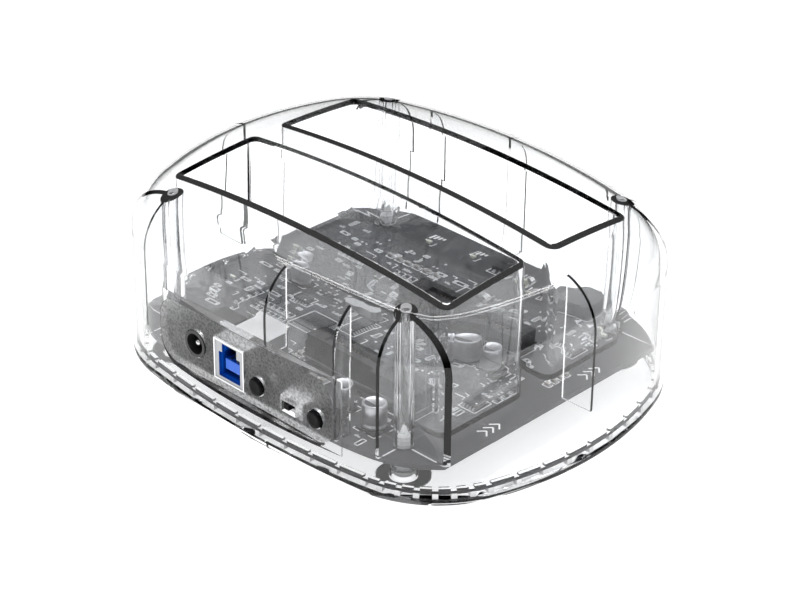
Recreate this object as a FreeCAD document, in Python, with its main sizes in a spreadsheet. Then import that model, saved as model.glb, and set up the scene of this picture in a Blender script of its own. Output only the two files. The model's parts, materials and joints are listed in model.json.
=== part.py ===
import FreeCAD, Part
import math
import os
import re
import Sketcher

# A clear two-bay hard drive dock. Millimetres; +Z up, origin under the middle of the base.
# The ports face +Y, the progress lights face -Y, and the drive bays run along X.

doc = FreeCAD.newDocument("DriveDock")

# ---------------------------------------------------------------- driving dimensions
DIMENSIONS = [
    # case outline, seen from above
    ("body_length", 150.0, "over the base flange, along X"),
    ("body_width", 119.0, "over the base flange, along Y"),
    ("long_side_radius", 265.0, "bulge of the two long sides"),
    ("end_radius", 99.0, "bulge of the two ends"),
    ("corner_radius", 34.5, "corners of the flange"),
    ("flange_width", 1.0, "the base flange stands out past the shell"),
    # shell
    ("case_top", 57.5, "highest point of the dome"),
    ("wall", 2.0, "shell wall"),
    ("dome_radius_x", 451.0, "crown of the dome along X"),
    ("dome_radius_y", 350.0, "crown of the dome along Y"),
    ("shoulder_radius", 15.0, "rounding between dome and side walls"),
    ("shell_bottom", 3.5, "lower edge of the shell"),
    # base
    ("base_bottom", 0.4, "underside of the base plate, held up by the feet"),
    ("base_thickness", 1.4, "base plate"),
    ("lip_height", 2.3, "upstand inside the shell"),
    ("lip_thickness", 1.2, "upstand"),
    ("fit_gap", 0.15, "between the upstand and the shell"),
    ("vent_pitch", 9.0, "spacer ribs round the rim"),
    ("vent_rib", 1.6, "width of one spacer rib"),
    # drive bays
    ("bay_length", 104.0, "takes a 101.6 mm wide drive"),
    ("bay_width", 29.3, "takes a 26.1 mm thick drive"),
    ("bay_spacing", 40.8, "centre to centre along Y"),
    ("bay_corner", 2.0, "corners of the opening"),
    ("bay_wall", 1.2, "well walls and floor"),
    ("bay_floor", 14.3, "top of the well floor"),
    # screw posts
    ("post_x", 45.1, "screw posts from the middle, along X"),
    ("post_y", 42.7, "screw posts from the middle, along Y"),
    ("post_diameter", 6.2, "screw posts"),
    ("fin_thickness", 0.9, "gussets and wall ribs"),
    ("end_fin_thickness", 1.4, "heavier fins that run to the end walls"),
    ("boss_diameter", 7.4, "bosses on the base"),
    ("screw_diameter", 3.6, "over the thread"),
    ("screw_head", 6.0, "head diameter"),
    ("screw_seat", 4.0, "underside of the screw head's seat"),
    ("screw_tip", 17.6, "top of the screw"),
    ("foot_diameter", 14.6, "rubber foot ring"),
    ("foot_thickness", 1.2, "rubber foot ring"),
    # main board
    ("board_top", 11.1, "upper face of the main board"),
    ("board_thickness", 1.6, "main board"),
    ("board_length", 118.8, "along X"),
    ("board_width", 106.8, "along Y"),
    ("board_inset", 4.0, "corner of the board inside the flange outline"),
    # port panel
    ("panel_face", 55.8, "flat recessed face that the ports open in"),
    ("panel_thickness", 1.8, "port panel"),
    ("panel_left", -32.0, "recess, lower X end"),
    ("panel_right", 37.0, "recess, upper X end"),
    ("panel_low", 8.8, "ledge under the ports"),
    ("panel_high", 28.8, "top of the recess"),
    ("panel_corner", 7.0, "corners of the recess"),
    ("cutout_gap", 0.25, "between a port and the edge of its cut-out"),
    # ports and controls, centres along X and heights above the base
    ("jack_x", 22.6, "power inlet"),
    ("jack_height", 18.2, "power inlet"),
    ("jack_nose", 8.0, "power inlet nose diameter"),
    ("jack_bore", 6.2, "power inlet bore"),
    ("jack_pin", 2.0, "power inlet centre pin"),
    ("usb_x", 8.8, "data port"),
    ("usb_width", 12.0, "data port shell"),
    ("usb_height", 12.8, "data port shell"),
    ("usb_depth", 17.5, "data port shell"),
    ("usb_sheet", 0.4, "data port shell"),
    ("power_x", -2.2, "power button"),
    ("clone_x", -24.8, "clone button"),
    ("button_height", 15.2, "centre of both buttons"),
    ("button_diameter", 5.3, "both buttons"),
    ("button_face", 56.7, "outer face of both buttons"),
    ("power_travel", 0.8, "power button"),
    ("clone_travel", 0.5, "clone button"),
    ("mode_x", -14.4, "slide switch"),
    ("mode_height", 13.7, "slide switch"),
    ("mode_travel", 2.0, "slide switch"),
    # drive sockets
    ("socket_x", -18.5, "centre of the drive sockets"),
    ("socket_offset", 8.15, "drive socket towards +Y from its bay's centre"),
    ("socket_length", 42.0, "drive socket"),
    ("socket_width", 7.0, "drive socket"),
    ("socket_height", 8.2, "drive socket"),
    ("contact_pitch", 1.27, "drive socket contacts"),
    # larger board parts
    ("can_diameter", 6.3, "electrolytic capacitors"),
    ("can_height", 7.2, "electrolytic capacitors"),
]

sheet = doc.addObject("Spreadsheet::Sheet", "Dimensions")
for row, (alias, value, note) in enumerate(DIMENSIONS, start=1):
    sheet.set("A%d" % row, alias)
    sheet.set("B%d" % row, str(value))
    sheet.setAlias("B%d" % row, alias)
    sheet.set("C%d" % row, note)
doc.recompute()

ALIASES = {alias for alias, value, note in DIMENSIONS}


def size(alias):
    """The value of one driving dimension."""
    return float(sheet.get(alias))


def bound(text):
    """An expression in which every dimension name points at its sheet cell."""
    return re.sub(r"[a-z_]+", lambda word: "Dimensions." + word.group()
                  if word.group() in ALIASES else word.group(), str(text))


def evaluate(text):
    """The number that an expression comes to."""
    return float(sheet.evalExpression(bound(text)))


def bind(item, **sizes):
    """Bind properties of an object to expressions; X, Y and Z place it."""
    for name, text in sizes.items():
        path = "Placement.Base." + name.lower() if name in ("X", "Y", "Z") else name
        item.setExpression(path, bound(text))


# ---------------------------------------------------------------- small building blocks
def block(name, length, width, height, x, y, z):
    """A box centred on x and y that stands on z."""
    item = doc.addObject("Part::Box", name)
    bind(item, Length=length, Width=width, Height=height)
    bind(item, X="%s - (%s) / 2" % (x, length), Y="%s - (%s) / 2" % (y, width), Z=z)
    return item


def span(name, x, y, z):
    """A box between two limits on each axis."""
    item = doc.addObject("Part::Box", name)
    bind(item, Length="(%s) - (%s)" % (x[1], x[0]), Width="(%s) - (%s)" % (y[1], y[0]),
         Height="(%s) - (%s)" % (z[1], z[0]), X=x[0], Y=y[0], Z=z[0])
    return item


def upright(name, diameter, x, y, low, high):
    """A vertical cylinder between two heights."""
    item = doc.addObject("Part::Cylinder", name)
    bind(item, Radius="(%s) / 2" % diameter, Height="(%s) - (%s)" % (high, low), X=x, Y=y, Z=low)
    return item


def level(name, diameter, x, z, back, front):
    """A horizontal cylinder along Y between two depths."""
    item = doc.addObject("Part::Cylinder", name)
    item.Placement.Rotation = FreeCAD.Rotation(FreeCAD.Vector(1, 0, 0), -90)
    bind(item, Radius="(%s) / 2" % diameter, Height="(%s) - (%s)" % (front, back), X=x, Y=back, Z=z)
    return item


def fuse(name, parts):
    item = doc.addObject("Part::MultiFuse", name)
    item.Shapes = parts
    return item


def cut(name, base, tools):
    item = doc.addObject("Part::Cut", name)
    item.Base = base
    item.Tool = tools[0] if len(tools) == 1 else fuse(name + "_tools", tools)
    return item


def common(name, parts):
    item = doc.addObject("Part::MultiCommon", name)
    item.Shapes = parts
    return item


def group(name, parts):
    """Identical separate solids that share one node."""
    item = doc.addObject("Part::Compound", name)
    item.Links = parts
    return item


def origin_plane(body, role):
    return next(item for item in body.Origin.OriginFeatures if item.Role == role)


def new_sketch(body, name, role):
    sketch = body.newObject("Sketcher::SketchObject", name)
    sketch.AttachmentSupport = (origin_plane(body, role), [""])
    sketch.MapMode = "FlatFace"
    return sketch


def edges_of(shape, keep):
    """The names of the edges that the test keeps."""
    return ["Edge%d" % (index + 1) for index, edge in enumerate(shape.Edges) if keep(edge)]


def rounded_block(name, length, width, height, radius, x, y, z):
    """A box with rounded vertical edges, centred on x and y, that stands on z."""
    body = doc.addObject("PartDesign::Body", name)
    base = body.newObject("PartDesign::AdditiveBox", name + "_box")
    bind(base, Length=length, Width=width, Height=height)
    base.Placement = FreeCAD.Placement()
    bind(body, X="%s - (%s) / 2" % (x, length), Y="%s - (%s) / 2" % (y, width), Z=z)
    doc.recompute()
    fillet = body.newObject("PartDesign::Fillet", name + "_corners")
    fillet.Base = (base, edges_of(base.Shape, lambda edge: edge.BoundBox.ZLength > 0.01))
    fillet.setExpression("Radius", bound(radius))
    body.Tip = fillet
    return body


# ---------------------------------------------------------------- case outline
def outline_arcs(inset):
    """Centres and radii of the outline's first-quadrant arcs, set in from the flange."""
    half_length = size("body_length") / 2
    half_width = size("body_width") / 2
    side = FreeCAD.Vector(0, half_width - size("long_side_radius"))
    end = FreeCAD.Vector(half_length - size("end_radius"), 0)
    to_side = size("long_side_radius") - size("corner_radius")
    to_end = size("end_radius") - size("corner_radius")
    # the corner's centre lies where a circle about each of the two long arcs' centres meet
    link = end - side
    gap = link.Length
    along = (to_side ** 2 - to_end ** 2 + gap ** 2) / (2 * gap)
    across = math.sqrt(to_side ** 2 - along ** 2)
    unit = link / gap
    corner = side + unit * along + FreeCAD.Vector(unit.y, -unit.x) * across
    return [(side, size("long_side_radius") - inset),
            (corner, size("corner_radius") - inset),
            (end, size("end_radius") - inset)]


def outline_angles():
    """Directions in which the corner arc meets the long side and the end."""
    (side, _), (corner, _), (end, _) = outline_arcs(0)
    at_side = corner - side
    at_end = corner - end
    return math.atan2(at_side.y, at_side.x), math.atan2(at_end.y, at_end.x)


def outline_points(pitch, inset):
    """Evenly spaced points round the outline, each with its outward direction in degrees."""
    (side, side_radius), (corner, corner_radius), (end, end_radius) = outline_arcs(inset)
    at_side, at_end = outline_angles()
    quadrant = [(end, end_radius, 0.0, at_end),
                (corner, corner_radius, at_end, at_side),
                (side, side_radius, at_side, math.pi / 2)]
    lengths = [radius * (last - first) for centre, radius, first, last in quadrant]
    steps = round(sum(lengths) / pitch)
    places = []
    for step in range(steps):
        run = (step + 0.5) * sum(lengths) / steps
        for (centre, radius, first, last), length in zip(quadrant, lengths):
            if run <= length:
                turn = first + run / radius
                point = centre + FreeCAD.Vector(math.cos(turn), math.sin(turn)) * radius
                places.append((point.x, point.y, math.degrees(turn)))
                break
            run -= length
    for flip_x, flip_y in ((-1, 1), (-1, -1), (1, -1)):
        for x, y, turn in places[:steps]:
            outward = math.degrees(math.atan2(flip_y * math.sin(math.radians(turn)),
                                              flip_x * math.cos(math.radians(turn))))
            places.append((flip_x * x, flip_y * y, outward))
    return places


def draw_outline(sketch, inset):
    """Eight tangent arcs: two long sides, two ends and four corners."""
    number = evaluate(inset)
    (side, side_radius), (corner, corner_radius), (end, end_radius) = outline_arcs(number)
    at_side, at_end = outline_angles()
    turn = math.pi
    spans = [  # centre, radius, first and last direction, anticlockwise from the +X end
        (end, end_radius, -at_end, at_end),
        (corner, corner_radius, at_end, at_side),
        (side, side_radius, at_side, turn - at_side),
        (FreeCAD.Vector(-corner.x, corner.y), corner_radius, turn - at_side, turn - at_end),
        (-end, end_radius, turn - at_end, turn + at_end),
        (-corner, corner_radius, turn + at_end, turn + at_side),
        (-side, side_radius, turn + at_side, 2 * turn - at_side),
        (FreeCAD.Vector(corner.x, -corner.y), corner_radius, -at_side, -at_end),
    ]
    for centre, radius, first, last in spans:
        circle = Part.Circle(centre, FreeCAD.Vector(0, 0, 1), radius)
        sketch.addGeometry(Part.ArcOfCircle(circle, first, last), False)
    end_point, start_point, centre_point = 2, 1, 3
    for arc in range(8):
        sketch.addConstraint(Sketcher.Constraint("Tangent", arc, end_point, (arc + 1) % 8, start_point))
    x_axis, y_axis, origin = -1, -2, 1
    for arc, axis in ((0, x_axis), (4, x_axis), (2, y_axis), (6, y_axis)):
        sketch.addConstraint(Sketcher.Constraint("PointOnObject", arc, centre_point, axis))
    radii = {"end": (0, 4), "corner": (1, 3, 5, 7), "long_side": (2, 6)}
    for word, arcs in radii.items():
        for arc in arcs:
            place = sketch.addConstraint(Sketcher.Constraint("Radius", arc, spans[arc][1]))
            sketch.renameConstraint(place, "%s_%d" % (word, arc))
            sketch.setExpression("Constraints.%s_%d" % (word, arc),
                                 bound("%s_radius - (%s)" % (word, inset)))
    end_offset = ("DistanceX", "end_radius - body_length / 2")
    side_offset = ("DistanceY", "long_side_radius - body_width / 2")
    for arc, (kind, text) in {0: end_offset, 4: end_offset, 2: side_offset, 6: side_offset}.items():
        behind = arc in (0, 2)
        first = (arc, centre_point) if behind else (x_axis, origin)
        last = (x_axis, origin) if behind else (arc, centre_point)
        value = evaluate(text)
        place = sketch.addConstraint(Sketcher.Constraint(kind, *first, *last, value))
        sketch.renameConstraint(place, "offset_%d" % arc)
        sketch.setExpression("Constraints.offset_%d" % arc, bound(text))


def outline_plate(name, inset, low, height):
    """A plate of the case outline, set in from the flange."""
    body = doc.addObject("PartDesign::Body", name)
    sketch = new_sketch(body, name + "_outline", "XY_Plane")
    draw_outline(sketch, inset)
    pad = body.newObject("PartDesign::Pad", name + "_pad")
    pad.Profile = sketch
    pad.setExpression("Length", bound(height))
    body.Tip = pad
    bind(body, Z=low)
    return body


def dome(name, inset, depth, low):
    """The outline raised into a crowned block; depth is how far it lies inside the outer skin."""
    tall = "case_top - (%s) + 5" % low
    body = outline_plate(name, inset, low, tall)
    doc.recompute()
    plain_volume = body.Shape.Volume
    # the crown turns about a line along Y that lies dome_radius_x below the top
    sketch = new_sketch(body, name + "_crown_line", "YZ_Plane")
    sketch.setExpression("AttachmentOffset.Base.y", bound("case_top - dome_radius_x - (%s)" % low))
    radius = evaluate("dome_radius_y - (%s)" % depth)
    middle = FreeCAD.Vector(0, evaluate("dome_radius_x - dome_radius_y"))
    reach = math.asin(evaluate("body_width / 2 + 5") / radius)
    first, last = math.pi / 2 - reach, math.pi / 2 + reach
    circle = Part.Circle(middle, FreeCAD.Vector(0, 0, 1), radius)
    arc = Part.ArcOfCircle(circle, first, last)
    lid = evaluate("dome_radius_x + 30")
    corners = [arc.EndPoint, FreeCAD.Vector(arc.EndPoint.x, lid), FreeCAD.Vector(arc.StartPoint.x, lid),
               arc.StartPoint]
    sketch.addGeometry(arc, False)
    for start, finish in zip(corners, corners[1:]):
        sketch.addGeometry(Part.LineSegment(start, finish), False)
    for item, following in ((0, 1), (1, 2), (2, 3)):
        sketch.addConstraint(Sketcher.Constraint("Coincident", item, 2, following, 1))
    sketch.addConstraint(Sketcher.Constraint("Coincident", 3, 2, 0, 1))
    place = sketch.addConstraint(Sketcher.Constraint("Radius", 0, radius))
    sketch.renameConstraint(place, "crown")
    sketch.setExpression("Constraints.crown", bound("dome_radius_y - (%s)" % depth))
    sketch.addConstraint(Sketcher.Constraint("PointOnObject", 0, 3, -2))
    place = sketch.addConstraint(Sketcher.Constraint("DistanceY", -1, 1, 0, 3, middle.y))
    sketch.renameConstraint(place, "middle")
    sketch.setExpression("Constraints.middle", bound("dome_radius_x - dome_radius_y"))
    for line in (1, 3):
        sketch.addConstraint(Sketcher.Constraint("Vertical", line))
    groove = body.newObject("PartDesign::Groove", name + "_crown")
    groove.Profile = sketch
    groove.ReferenceAxis = (sketch, ["H_Axis"])
    groove.Midplane = True
    groove.Angle = 24
    body.Tip = groove
    doc.recompute()
    if groove.Shape.Volume >= plain_volume:
        raise RuntimeError(name + " has no crown")
    fillet = body.newObject("PartDesign::Fillet", name + "_shoulder")
    top = evaluate("case_top - 20 - (%s)" % low)
    fillet.Base = (groove, edges_of(groove.Shape, lambda edge: edge.BoundBox.ZMin > top))
    fillet.setExpression("Radius", bound("shoulder_radius - (%s)" % depth))
    body.Tip = fillet
    doc.recompute()
    return body


# ---------------------------------------------------------------- top shell
FOUR_CORNERS = [(1, 1), (-1, 1), (-1, -1), (1, -1)]
BAYS = {"rear": "bay_spacing / 2", "front": "0 - bay_spacing / 2"}
HIGH = "case_top + 4"

outer_form = dome("outer_form", "flange_width", "0", "shell_bottom")
inner_form = dome("inner_form", "flange_width + wall", "wall", "shell_bottom - 1")
skin = cut("skin", outer_form, [inner_form])


def well(name, centre):
    return rounded_block(name, "bay_length + 2 * bay_wall", "bay_width + 2 * bay_wall",
                         "case_top + 4 - bay_floor + bay_wall", "bay_corner + bay_wall",
                         "0", centre, "bay_floor - bay_wall")


def socket_gap(name, centre):
    return block(name, "socket_length + 1", "socket_width + 1", "bay_wall + 2", "socket_x",
                 "%s + socket_offset" % centre, "bay_floor - bay_wall - 1")


inside = []
for corner, (along, across) in enumerate(FOUR_CORNERS):
    x, y = "%d * post_x" % along, "%d * post_y" % across
    inside.append(upright("post_%d" % corner, "post_diameter", x, y, "board_top", HIGH))
    inside.append(block("end_fin_%d" % corner, "32", "end_fin_thickness", "%s - board_top" % HIGH,
                        "%d * (post_x + 16)" % along, y, "board_top"))
    inside.append(block("side_fin_%d" % corner, "fin_thickness", "28", "%s - board_top" % HIGH,
                        x, "%d * (post_y + 14)" % across, "board_top"))

RIB_REACH = "body_width / 2 - 10.5"
for number, (x, side, low) in enumerate([("-31.5", 1, "board_top"), ("-7.4", 1, "panel_high - 1"),
                                         ("33.5", -1, "board_top"), ("2.2", -1, "board_top"),
                                         ("-35", -1, "board_top")]):
    inside.append(block("side_rib_%d" % number, "fin_thickness", "20", "%s - %s" % (HIGH, low),
                        x, "%d * (%s + 10)" % (side, RIB_REACH), low))
for side in (1, -1):
    inside.append(block("end_rib_%d" % (side > 0), "30", "fin_thickness", "%s - bay_floor" % HIGH,
                        "%d * (body_length / 2 + 2.3)" % side, "0", "bay_floor"))
inside.append(span("panel_backing", ("panel_left - 2", "panel_right + 2"),
                   ("panel_face - panel_thickness", "body_width / 2 + 5"),
                   ("panel_low - 1.5", "panel_high + 1.5")))
inside_trimmed = common("inside_trimmed", [outer_form, fuse("inside", inside)])
shell_solid = fuse("shell_solid", [skin, inside_trimmed])


def panel_recess(name):
    """The flat pill-shaped recess: a rounded block lying on its back."""
    body = rounded_block(name, "panel_right - panel_left", "panel_high - panel_low", "20",
                         "panel_corner", "0", "0", "0")
    body.setExpression("Placement.Base.x", None)
    body.Placement.Rotation = FreeCAD.Rotation(FreeCAD.Vector(1, 0, 0), 90)
    bind(body, X="panel_left", Y="panel_face + 20", Z="panel_low")
    return body


openings = [panel_recess("panel_recess")]
openings += [well(word + "_well_space", centre) for word, centre in BAYS.items()]
for corner, (along, across) in enumerate(FOUR_CORNERS):
    x, y = "%d * post_x" % along, "%d * post_y" % across
    openings.append(upright("post_thread_%d" % corner, "screw_diameter + 0.1", x, y, "board_top - 1",
                             "screw_tip - 1.8"))
    openings.append(upright("post_bore_%d" % corner, "2.6", x, y, "screw_tip - 2.5", HIGH))

PANEL_DEPTH = ("panel_face - panel_thickness - 1", "panel_face + 1")
openings.append(level("jack_cutout", "jack_nose + 2 * cutout_gap", "jack_x", "jack_height", *PANEL_DEPTH))
openings.append(span("usb_cutout", ("usb_x - usb_width / 2 - cutout_gap", "usb_x + usb_width / 2 + cutout_gap"),
                     PANEL_DEPTH, ("board_top - cutout_gap", "board_top + usb_height + cutout_gap")))
for word in ("power", "clone"):
    openings.append(level(word + "_cutout", "button_diameter + 0.6", word + "_x", "button_height", *PANEL_DEPTH))
openings.append(span("mode_cutout", ("mode_x - 2.6", "mode_x + 2.6"), PANEL_DEPTH,
                     ("mode_height - 1.7", "mode_height + 1.7")))
top_shell = cut("top_shell", shell_solid, openings)


# ---------------------------------------------------------------- drive wells
def drive_well(word, centre):
    """An open-topped well that follows the dome at its rim, with a gap in its floor for the socket."""
    solid = common(word + "_well_solid", [outer_form, well(word + "_well", centre)])
    bay = rounded_block(word + "_bay", "bay_length", "bay_width", "case_top + 6 - bay_floor",
                        "bay_corner", "0", centre, "bay_floor")
    return cut("drive_well_" + word, solid, [bay, socket_gap(word + "_socket_gap", centre)])


drive_well_rear = drive_well("rear", BAYS["rear"])
drive_well_front = drive_well("front", BAYS["front"])


# ---------------------------------------------------------------- base plate
PLATE_TOP = "base_bottom + base_thickness"
LIP_INSET = "flange_width + wall + fit_gap"

plate = outline_plate("plate", "0", "base_bottom", "base_thickness")
lip_outer = outline_plate("lip_outer", LIP_INSET, PLATE_TOP, "lip_height")
lip_inner = outline_plate("lip_inner", LIP_INSET + " + lip_thickness", PLATE_TOP, "lip_height + 1")


def ring_of_blocks(name, inset, depth, width, low, height):
    """Small blocks at the vent pitch round the outline, each turned to face outward."""
    places = outline_points(size("vent_pitch"), inset + depth / 2)
    blocks = []
    for number, (x, y, turn) in enumerate(places):
        item = doc.addObject("Part::Feature", "%s_%d" % (name, number))
        item.Shape = Part.makeBox(depth, width, height, FreeCAD.Vector(-depth / 2, -width / 2, 0))
        item.Placement = FreeCAD.Placement(FreeCAD.Vector(x, y, low),
                                           FreeCAD.Rotation(FreeCAD.Vector(0, 0, 1), turn))
        blocks.append(item)
    return blocks


plate_top = evaluate(PLATE_TOP)
shell_face = size("flange_width")
spacers = ring_of_blocks("spacer", shell_face + 0.2, size("wall") + 0.5, size("vent_rib"),
                         plate_top - 0.2, size("shell_bottom") - plate_top + 0.2)
notches = ring_of_blocks("notch", evaluate(LIP_INSET) - 0.5, size("lip_thickness") + 1, size("vent_rib"),
                         plate_top + size("lip_height") - 0.7, 2.0)
lip = cut("lip", lip_outer, [lip_inner] + notches)

raised, sunk = [], []
for corner, (along, across) in enumerate(FOUR_CORNERS):
    x, y = "%d * post_x" % along, "%d * post_y" % across
    raised.append(upright("boss_%d" % corner, "boss_diameter", x, y, "base_bottom", "board_top - board_thickness"))
    sunk.append(upright("foot_seat_%d" % corner, "foot_diameter + 0.4", x, y, "base_bottom - 1", "foot_thickness"))
    sunk.append(upright("head_seat_%d" % corner, "screw_head + 0.6", x, y, "0", "screw_seat"))
    sunk.append(upright("screw_way_%d" % corner, "screw_diameter + 0.5", x, y, "0", "board_top"))
base_plate = cut("base_plate", fuse("base_solid", [plate, lip] + spacers + raised), sunk)


# ---------------------------------------------------------------- screws and feet
def case_screw(corner, x, y):
    head = upright("screw_head_%d" % corner, "screw_head", x, y, "screw_seat - 1.9", "screw_seat")
    shank = upright("screw_shank_%d" % corner, "screw_diameter", x, y, "screw_seat - 1", "screw_tip - 3")
    tip = doc.addObject("Part::Cone", "screw_tip_%d" % corner)
    bind(tip, Radius1="screw_diameter / 2", Radius2="0.3", Height="3", X=x, Y=y, Z="screw_tip - 3")
    slots = [block("slot_%d_%d" % (corner, turn), *sides, "1.2", x, y, "screw_seat - 2.3")
             for turn, sides in enumerate((("3.4", "0.9"), ("0.9", "3.4")))]
    return cut("screw_%d" % corner, fuse("screw_blank_%d" % corner, [head, shank, tip]), slots)


def foot_ring(corner, x, y):
    ring = upright("ring_%d" % corner, "foot_diameter", x, y, "0", "foot_thickness")
    hole = upright("ring_hole_%d" % corner, "screw_head + 1.6", x, y, "-1", "foot_thickness + 1")
    return cut("foot_%d" % corner, ring, [hole])


corners = [(corner, "%d * post_x" % along, "%d * post_y" % across)
           for corner, (along, across) in enumerate(FOUR_CORNERS)]
case_screws = group("case_screws", [case_screw(*place) for place in corners])
rubber_feet = group("rubber_feet", [foot_ring(*place) for place in corners])

# ---------------------------------------------------------------- main board
BOARD_UNDERSIDE = "board_top - board_thickness"
board_corners = outline_plate("board_corners", "board_inset", BOARD_UNDERSIDE, "board_thickness")
board_blank = block("board_blank", "board_length", "board_width", "board_thickness", "0", "0", BOARD_UNDERSIDE)
board_holes = [upright("board_hole_%d" % corner, "screw_diameter + 0.6", x, y, "board_top - 3", "board_top + 1")
               for corner, x, y in corners]
main_board = cut("main_board", common("board_shape", [board_corners, board_blank]), board_holes)


# ---------------------------------------------------------------- drive sockets
def drive_socket(word, centre):
    """A socket with a short data slot and a long power slot, and the contacts that stand in them."""
    middle = "%s + socket_offset" % centre
    body = block(word + "_socket_body", "socket_length", "socket_width", "socket_height",
                 "socket_x", middle, "board_top")
    slots, contacts = [], []
    for kind, first, count in (("data", "socket_x - 16.5", 7), ("supply", "socket_x - 4.5", 15)):
        length = "%d * contact_pitch + 1" % count
        low, high = "board_top", "board_top + socket_height + 1"
        slots.append(span("%s_%s_slot" % (word, kind), (first, "%s + %s" % (first, length)),
                          ("%s - 1.2" % middle, "%s + 1.0" % middle), (low, high)))
        key = "%s + %s" % (first, length)
        slots.append(span("%s_%s_key" % (word, kind), ("%s - 1.2" % key, key),
                          ("%s - 1.2" % middle, "%s + 2.4" % middle), ("board_top + 2", high)))
        for number in range(count):
            x = "%s + 0.5 + %s * contact_pitch" % (first, number + 0.5)
            contacts.append(block("%s_%s_contact_%d" % (word, kind, number), "0.6", "0.35",
                                  "socket_height - 1.2", x, "%s - 1.0" % middle, "board_top"))
    housing = cut("sata_socket_" + word, body, slots)
    return housing, group("sata_contacts_" + word, contacts)


sata_socket_rear, sata_contacts_rear = drive_socket("rear", BAYS["rear"])
sata_socket_front, sata_contacts_front = drive_socket("front", BAYS["front"])

# ---------------------------------------------------------------- power inlet
PORT_FACE = "panel_face + 0.3"
BEHIND_PANEL = "panel_face - panel_thickness - 0.3"
JACK_FLOOR = "panel_face - 10"

jack_case = span("jack_case", ("jack_x - 4.5", "jack_x + 4.5"), ("panel_face - 16", BEHIND_PANEL),
                 ("board_top", "board_top + 11"))
jack_nose = level("jack_nose", "jack_nose", "jack_x", "jack_height", "panel_face - 4", PORT_FACE)
jack_bore = level("jack_bore_space", "jack_bore", "jack_x", "jack_height", JACK_FLOOR, "panel_face + 2")
dc_jack_housing = cut("dc_jack_housing", fuse("jack_solid", [jack_case, jack_nose]), [jack_bore])

pin_shaft = level("pin_shaft", "jack_pin", "jack_x", "jack_height", JACK_FLOOR, "panel_face - 1.4")
pin_end = doc.addObject("Part::Sphere", "pin_end")
bind(pin_end, Radius="jack_pin / 2", X="jack_x", Y="panel_face - 1.4", Z="jack_height")
dc_jack_pin = fuse("dc_jack_pin", [pin_shaft, pin_end])
dc_jack_spring = block("dc_jack_spring", "1.6", "7", "0.3", "jack_x", "panel_face - 6.5",
                       "jack_height - 2.9")

# ---------------------------------------------------------------- data port
USB_BACK = "panel_face + 0.3 - usb_depth"
USB_LOW = "board_top + usb_sheet"
usb_sides = ("usb_x - usb_width / 2", "usb_x + usb_width / 2")
usb_box = span("usb_box", usb_sides, (USB_BACK, PORT_FACE), ("board_top", "board_top + usb_height"))
usb_hollow = span("usb_hollow", (usb_sides[0] + " + usb_sheet", usb_sides[1] + " - usb_sheet"),
                  (USB_BACK + " + usb_sheet", "panel_face + 2"),
                  (USB_LOW, "board_top + usb_height - usb_sheet"))
usb_port_shell = cut("usb_port_shell", usb_box, [usb_hollow])

usb_block = span("usb_block", (usb_sides[0] + " + usb_sheet", usb_sides[1] + " - usb_sheet"),
                 (USB_BACK + " + usb_sheet", "panel_face"), (USB_LOW, "board_top + usb_height - usb_sheet"))
USB_MOUTH = ("panel_face - 9", "panel_face + 1")
usb_lower_mouth = span("usb_lower_mouth", ("usb_x - 4.25", "usb_x + 4.25"), USB_MOUTH,
                       ("board_top + 1.2", "board_top + 9"))
usb_upper_mouth = span("usb_upper_mouth", ("usb_x - 2.9", "usb_x + 2.9"), USB_MOUTH,
                       ("board_top + 8.9", "board_top + 11.8"))
usb_tongue = span("usb_tongue", ("usb_x - 2.8", "usb_x + 2.8"), ("panel_face - 9.5", "panel_face - 1.2"),
                  ("board_top + 3.5", "board_top + 6.7"))
usb_port_insulator = fuse("usb_port_insulator",
                          [cut("usb_block_open", usb_block, [usb_lower_mouth, usb_upper_mouth]), usb_tongue])


def usb_contact(name, x, low):
    return block(name, "0.8", "6.5", "0.2", x, "panel_face - 5", low)


usb_contacts = []
for number, x in enumerate(("usb_x - 1.25", "usb_x + 1.25")):
    usb_contacts.append(usb_contact("usb_top_contact_%d" % number, x, "board_top + 6.7"))
    usb_contacts.append(usb_contact("usb_low_contact_%d" % number, x, "board_top + 3.3"))
for number in range(5):
    usb_contacts.append(usb_contact("usb_fast_contact_%d" % number, "usb_x + %s" % (number - 2.0), "board_top + 11.6"))
usb_port_contacts = group("usb_port_contacts", usb_contacts)


# ---------------------------------------------------------------- push buttons and slide switch
def push_button(word, cap_back, stem, stem_back, switch_front, switch_size, travel):
    """A round cap and its stem in front of a switch body whose bore leaves room for the travel."""
    x = word + "_x"
    cap = level(word + "_cap", "button_diameter", x, "button_height", cap_back, "button_face")
    shaft = level(word + "_stem", stem, x, "button_height", stem_back, cap_back + " + 1")
    width, depth, height = switch_size
    case = span(word + "_case", ("%s - %s / 2" % (x, width), "%s + %s / 2" % (x, width)),
                ("%s - %s" % (switch_front, depth), switch_front), ("board_top", "board_top + %s" % height))
    bore = level(word + "_case_bore", "%s + 0.4" % stem, x, "button_height",
                 "%s - %s - 0.4" % (stem_back, travel), "panel_face")
    return cap, shaft, cut(word + "_switch_body", case, [bore])


power_cap, power_stem, power_switch_body = push_button(
    "power", "51.4", "3", "46.6", "49.4", ("7", "8.4", "7.2"), "power_travel")
power_switch_plunger = power_stem
power_socket = level("power_socket", "3", "power_x", "button_height", "51", "52.4")
power_button = cut("power_button", power_cap, [power_socket])

clone_cap, clone_stem, clone_switch_body = push_button(
    "clone", "52.4", "3.2", "49.2", "50.2", ("6", "3.6", "6.6"), "clone_travel")
clone_button = fuse("clone_button", [clone_cap, clone_stem])

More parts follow.
